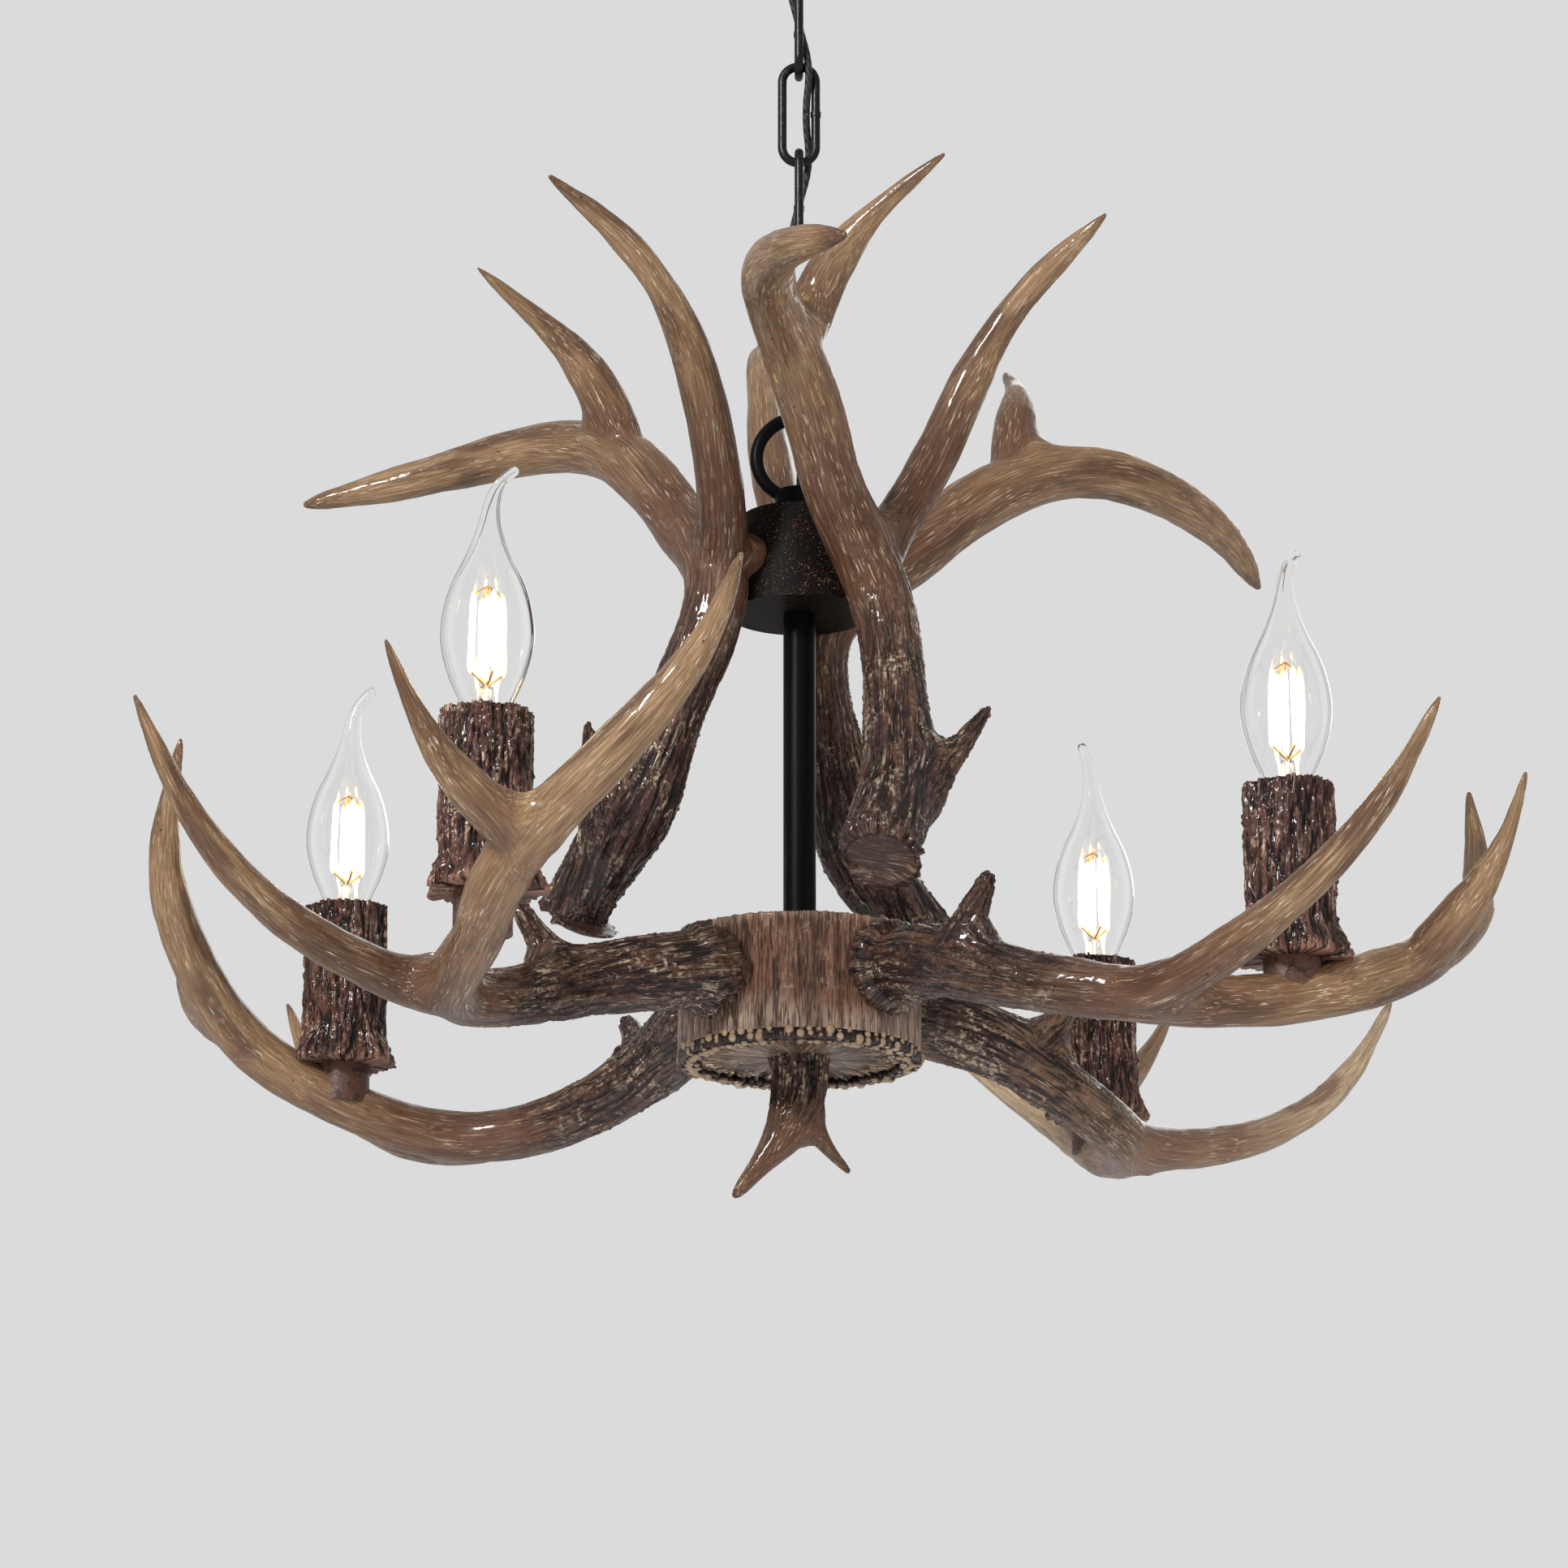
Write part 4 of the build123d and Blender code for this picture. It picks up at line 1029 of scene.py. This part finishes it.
def makeBeadRing():
    s = beadSettings
    tree = buildBeadTree()
    low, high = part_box("hub_bead_ring")
    tall = high.z - low.z
    profile = [(s["outer"], s["foot"], 0.0), (s["outer"], tall, 0.0), (s["inner"], tall, 0.0),
               (s["inner"], s["foot"], 0.0)]
    piece = turnedPiece("beadRing", profile, s["around"], (0, 0, low.z))[0]
    for index, (radius, lift) in enumerate(s["rows"]):
        applyTree(piece, tree, dict(
            groupValues(s), Radius=radius, Height=low.z + s["rise"] + lift, Seed=s["seed"] + index,
            Material=beadResin))
    points = vertexArray(piece.data)
    # bead parts standing out past the ring and those below it turn cream, partly as painted highlight; the
    # ring behind and between them stays dark
    below = 1 - ramp(points[:, 2], low.z - 0.001, low.z + 0.0008)
    outside = np.maximum(ramp(axisReach(points), 0.0474, 0.0486), below)
    storeValues(piece.data, relief=0.2 + 0.8 * outside, rough=1.0, pale=0.1 + 0.95 * outside)
    finishPiece(piece, "fixture", "hub_bead_ring")


makeBeadRing()
print("hub made")


# power cord: one smooth line, cut at the middle of each link so that each length bends over one joint
cordSettings = {
    "diameter": 0.003, "around": 12, "swing": 4.8, "pull": 2.4, "linkPitch": 38.6, "links": 7,
    "start": -13.0, "loopMiddle": -51.9, "seat": -66.4, "ringMiddle": -351.1, "end": -389.0,
    "leadAbove": 6.0, "leadBelow": 5.0, "leadSide": 1.4, "tailAbove": 4.0, "tailBelow": 7.0,
    "tailSide": 1.6, "threads": 3, "threadPitch": 0.004,
}


def cordRoute(s):
    corners = [(1, 1), (-1, 1), (-1, -1), (1, -1)]
    route = [(0, 0, s["start"]), (0, 0, s["loopMiddle"] + s["leadAbove"]),
             (s["leadSide"], s["leadSide"], s["loopMiddle"] - s["leadBelow"])]
    for index in range(s["links"] + 1):
        x, y = corners[index % 4]
        seat = s["seat"] - index * s["linkPitch"]
        route.append((s["swing"] * x, s["swing"] * y, seat))
        if index < s["links"]:
            nextX, nextY = corners[(index + 1) % 4]
            route.append((s["pull"] * (x + nextX) / 2, s["pull"] * (y + nextY) / 2,
                          seat - s["linkPitch"] / 2))
    x, y = corners[s["links"] % 4]
    route.append((s["tailSide"] * x, s["tailSide"] * y, s["ringMiddle"] + s["tailAbove"]))
    route.append((0, 0, s["ringMiddle"] - s["tailBelow"]))
    route.append((0, 0, s["end"]))
    return [Vector(point) * mm for point in route]


def smoothLine(route):
    curve = bpy.data.curves.new("cordLine", "CURVE")
    curve.dimensions = "3D"
    spline = curve.splines.new("NURBS")
    spline.points.add(len(route) - 1)
    for point, place in zip(spline.points, route):
        point.co = (*place, 1)
    spline.order_u = 3
    spline.use_endpoint_u = True
    spline.resolution_u = 12
    line = addObject("cordLine", curve)
    depsgraph = bpy.context.evaluated_depsgraph_get()
    points = vertexArray(bpy.data.meshes.new_from_object(line.evaluated_get(depsgraph)))
    bpy.data.objects.remove(line)
    return points


def tube(name, points, frames, lengths, radius, around):
    # a round tube along the points with flat closed ends
    angles, turn = ringTurns(frames[1], frames[2], around)
    vertices = (points[:, None] + radius * turn).reshape(-1, 3)
    faces = ringFaces(len(points), around)
    faces.append(tuple(reversed(range(around))))
    faces.append(tuple(range(len(vertices) - around, len(vertices))))
    piece = newPiece(name, vertices, faces)
    threads = np.tile(angles, len(points)) * cordSettings["threads"]
    storeValues(
        piece.data, along=np.repeat((lengths - lengths[0]) / (lengths[-1] - lengths[0]), around),
        twist=threads + np.repeat(lengths, around) * 2 * pi / cordSettings["threadPitch"])
    return piece


def makeCord():
    s = cordSettings
    points = smoothLine(cordRoute(s))
    frames = pathFrames(points)
    lengths = runLengths(points)
    bodies = ["ceiling"] + [f"link_{i}" for i in range(1, s["links"] + 1)] + ["fixture"]
    cuts = [(s["seat"] - (index + 0.5) * s["linkPitch"]) * mm for index in range(s["links"])]
    places = [0] + [int(np.argmin(abs(points[:, 2] - cut))) for cut in cuts] + [len(points) - 1]
    for index in range(s["links"] + 1):
        span = slice(places[index], places[index + 1] + 1)
        piece = tube(f"powerCord_{index + 1}", points[span], [f[span] for f in frames], lengths[span],
                     s["diameter"] / 2, s["around"])
        piece.data.materials.append(cordBlack)
        joint = (s["seat"] - index * s["linkPitch"]) * mm
        reach = s["linkPitch"] * mm * 0.45
        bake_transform(piece, bodies[index], bodies[index + 1], start=(0, 0, joint + reach),
                 end=(0, 0, joint - reach))
        if index == 0:
            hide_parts("power_cord")
    print("cord length", round(float(lengths[-1]), 4))


makeCord()


# lamps: filament sticks, a middle stick that glows as painted glare, the wires that join them and the glass
# stem
lampSettings = {
    "filaments": 4, "stickRadius": 0.0012, "low": 0.0165, "length": 0.031, "spread": 0.0066,
    "spreadTop": 0.0056, "bearing": 25.0, "wireRadius": 0.0004, "stemRadius": 0.0026,
    "glareRadius": 0.0009, "overlap": 0.001,
    "stemFoot": 0.004, "stemHeight": 0.013, "supportRise": 0.004, "seat": 0.00005,
}


# glass of a lamp: sideways reach, height above the lamp cap and radius, in millimetres
glassSettings = {
    "rows": [(0, 0.05, 7.6), (0, 6.5, 10.2), (0, 16.5, 14.4), (0, 30.5, 17.4), (0, 42.5, 16.2),
             (0, 52.5, 13.1), (0, 60.5, 9.3), (0.1, 68.5, 6.1), (0.4, 75.5, 4.2), (1.2, 82.5, 3.2),
             (3.0, 88.5, 2.5), (6.0, 93.0, 2.1), (9.0, 95.7, 1.9)],
    "turns": [10.0, 50.0, 240.0, 350.0], "wall": 0.0011, "around": 40, "innerShare": 0.95, "cap": 7,
}


def glassShell(rows, around, thin, share):
    # a closed skin round the bent line, drawn to a round end at its top
    path = samplePath(rows, 0.0011)
    path = path[:int(len(path) * share)]
    along, sides, ups = pathFrames(path[:, :3])
    radius = np.maximum(path[:, 3] - thin, 0.0003)
    turn = ringTurns(sides, ups, around)[1]
    ends = np.linspace(0, pi / 2, glassSettings["cap"])[1:-1]
    dome = [path[-1, :3] + along[-1] * radius[-1] * sin(a) + turn[-1] * radius[-1] * cos(a) for a in ends]
    rings = np.concatenate([path[:, None, :3] + radius[:, None, None] * turn, np.array(dome)])
    vertices = list(rings.reshape(-1, 3)) + [path[0, :3], path[-1, :3] + along[-1] * radius[-1]]
    foot = len(rings) * around
    last = foot - around
    faces = ringFaces(len(rings), around)
    faces += [(foot, (j + 1) % around, j) for j in range(around)]
    faces += [(foot + 1, last + j, last + (j + 1) % around) for j in range(around)]
    return vertices, faces


def makeGlass(number, middle):
    g = glassSettings
    bearing = radians(g["turns"][number - 1])
    rows = [(x * cos(bearing) * mm, x * sin(bearing) * mm, z * mm, r * mm) for x, z, r in g["rows"]]
    rows = [(row[0] + middle[0], row[1] + middle[1], row[2] + middle[2], row[3]) for row in rows]
    outer, outerFaces = glassShell(rows, g["around"], 0.0, 1.0)
    inner, innerFaces = glassShell(rows, g["around"], g["wall"], g["innerShare"])
    start = len(outer)
    lift = Vector((0, 0, g["wall"]))
    inner = [Vector(v) + lift * (1 if v[2] < middle[2] + 0.0005 else 0) for v in inner]
    faces = outerFaces + [tuple(start + i for i in reversed(face)) for face in innerFaces]
    piece = newPiece(f"bulbGlass_{number}", outer + inner, faces)
    piece.data.materials.append(lampGlass)
    finishPiece(piece, f"lamp_{number}", f"lamp_glass_{number}")


def straightTube(start, end, startRadius, endRadius=None, count=12, around=14):
    endRadius = endRadius or startRadius
    share = np.linspace(0, 1, count)
    points = np.array(start) + share[:, None] * (np.array(end) - np.array(start))
    lengths = share * float(np.linalg.norm(np.array(end) - np.array(start)))
    piece = tube("part", points, pathFrames(points), lengths, 1.0, around)
    vertices = vertexArray(piece.data).reshape(count, around, 3)
    radius = startRadius + share * (endRadius - startRadius)
    rounded = np.sqrt(np.clip(1 - (2 * share - 1) ** 8, 0.05, 1)) * radius
    movePoints(piece.data, points[:, None] + (vertices - points[:, None]) * rounded[:, None, None])
    return piece


def joinPieces(parts, name):
    whole = bmesh.new()
    whole.verts.layers.float.new("along")
    for part in parts:
        start = len(whole.verts)
        whole.from_mesh(part.data)
        whole.verts.ensure_lookup_table()
        layer = whole.verts.layers.float["along"]
        values = np.zeros(len(part.data.vertices), np.float32)
        part.data.attributes["along"].data.foreach_get("value", values)
        for vertex, value in zip(whole.verts[start:], values):
            vertex[layer] = value
        bpy.data.objects.remove(part)
    mesh = bpy.data.meshes.new(name)
    whole.to_mesh(mesh)
    whole.free()
    mesh.shade_smooth()
    return addObject(name, mesh)


def makeLamp(number):
    s = lampSettings
    low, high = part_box(f"candle_sleeve_{number}")
    middle = np.array([(low.x + high.x) / 2, (low.y + high.y) / 2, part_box(f"lamp_cap_{number}")[1].z])
    top = s["low"] + s["length"]
    stemTop = s["stemHeight"]
    wire, lap = s["wireRadius"], s["overlap"]
    peak = top + s["supportRise"]

    def raised(height):
        return middle + (0, 0, height)

    # the first stick runs up the middle and glows as painted glare; it is no filament
    sticks = [straightTube(raised(stemTop + lap), raised(top), s["glareRadius"], count=24)]
    wires = [straightTube(raised(stemTop - 2 * lap), raised(peak), wire)]
    for index in range(s["filaments"]):
        turn = radians(s["bearing"]) + index * 2 * pi / s["filaments"]
        out = np.array([cos(turn), sin(turn), 0])
        foot = middle + out * s["spread"] + (0, 0, s["low"])
        head = middle + out * s["spreadTop"] + (0, 0, top)
        sticks.append(straightTube(foot, head, s["stickRadius"], count=24))
        wires.append(straightTube(raised(stemTop - lap), foot + (0, 0, lap), wire))
        wires.append(straightTube(head - (0, 0, lap), raised(peak - lap), wire))
    stem = [straightTube(raised(s["seat"]), raised(stemTop), s["stemFoot"], s["stemRadius"])]
    for label, parts, material, slot, node in (
            ("lampSticks", sticks, filamentGlow, "filament_glow", f"lamp_filaments_{number}"),
            ("lampWires", wires, copperWire, "lamp_cap_metal", None),
            ("lampStem", stem, stemGlass, "lamp_glass", None)):
        piece = joinPieces(parts, f"{label}_{number}")
        piece.data.materials.append(material)
        finishPiece(piece, f"lamp_{number}", node)
    makeGlass(number, middle)


for number in lampNumbers:
    makeLamp(number)
print("cord and lamps made")


# finishes of the CAD nodes that stay
def dress(names, material):
    for name in names:
        slots = nodes[name].material_slots
        if len(slots) == 0:
            nodes[name].data.materials.append(material)
        for slot in slots:
            slot.material = material


finishes = {
    "chainBronze": ["canopy", "canopy_loop", "canopy_loop_collar"]
    + [f"chain_link_{i}" for i in range(1, 8)],
    "rustyMetal": ["upper_cup", "cup_base_plate"],
    "saddleBrown": ["sleeve_saddles"],
    "blackMetal": ["centre_rod", "rod_nuts", "top_loop", "top_loop_collar"],
    "zincSteel": ["mounting_strap", "canopy_nuts", "canopy_screws", "lower_antler_screws",
                  "upper_antler_screws"] + [f"lamp_cap_{i}" for i in lampNumbers],
    "brassTrim": ["sleeve_nipples"],
    "holderPlastic": ["terminal_block"] + [f"lamp_holder_{i}" for i in lampNumbers],
}
for finish, names in finishes.items():
    dress(names, metals[finish])
dress(["hub_lid"], hubFace)


# stage: pale floor far below, soft lights, and a pale surround that lights evenly
stageSettings = {
    "floorHeight": -2.4, "floorSize": 14.0, "floorColour": colour(246, 246, 247),
    "floorShade": colour(243, 243, 244), "surround": colour(219, 219, 219), "daylight": 0.5,
    "mirrored": 0.4, "aim": (0, 0, -0.45),
    "lights": [
        ("keyLight", (-1.3, -1.8, 0.6), 0.5, 54.0, True),
        ("fillLight", (1.8, -1.5, -0.3), 1.2, 22.0, False),
        ("lowLight", (-0.5, -1.7, -2.1), 1.2, 22.0, False),
        ("backLight", (0.6, 1.8, 0.5), 1.2, 8.0, True),
    ],
}


def makeStage(s):
    half = s["floorSize"] / 2
    corners = [(-half, -half), (half, -half), (half, half), (-half, half)]
    floor = newPiece("floor", [(x, y, s["floorHeight"]) for x, y in corners], [(0, 1, 2, 3)])
    material, graph, shader = newMaterial("floorPaint", Roughness=0.9)
    tone = graph.blendColour(graph.noise(graph.place(), 3.0), s["floorColour"], s["floorShade"])
    graph.feed(shader.inputs, {"Base Color": tone})
    floor.data.materials.append(material)
    for name, place, size, power, mirrored in s["lights"]:
        data = bpy.data.lights.new(name, "AREA")
        data.size = size
        data.energy = power
        light = addObject(name, data)
        light.location = place
        light.visible_transmission = False
        light.visible_camera = False
        light.visible_glossy = mirrored
        light.rotation_mode = "QUATERNION"
        light.rotation_quaternion = (Vector(s["aim"]) - Vector(place)).to_track_quat("-Z", "Y")
    world = bpy.data.worlds.new("surround")
    scene.world = world
    world.use_nodes = True
    graph = Graph(world.node_tree)
    lit = world.node_tree.nodes["Background"]
    seen = graph.wire("ShaderNodeBackground", {"Color": s["surround"], "Strength": 1.0})
    path = graph.add("ShaderNodeLightPath").outputs
    strength = graph.mix(path["Is Glossy Ray"], s["daylight"], s["mirrored"])
    graph.feed(lit.inputs, {"Color": (1, 1, 1, 1), "Strength": strength})
    rays = graph.math("MAXIMUM", path["Is Camera Ray"], path["Is Transmission Ray"])
    both = graph.wire("ShaderNodeMixShader", {0: rays, 1: lit.outputs[0], 2: seen})
    graph.feed(world.node_tree.nodes["World Output"].inputs, {0: both})


makeStage(stageSettings)
print("stage made")
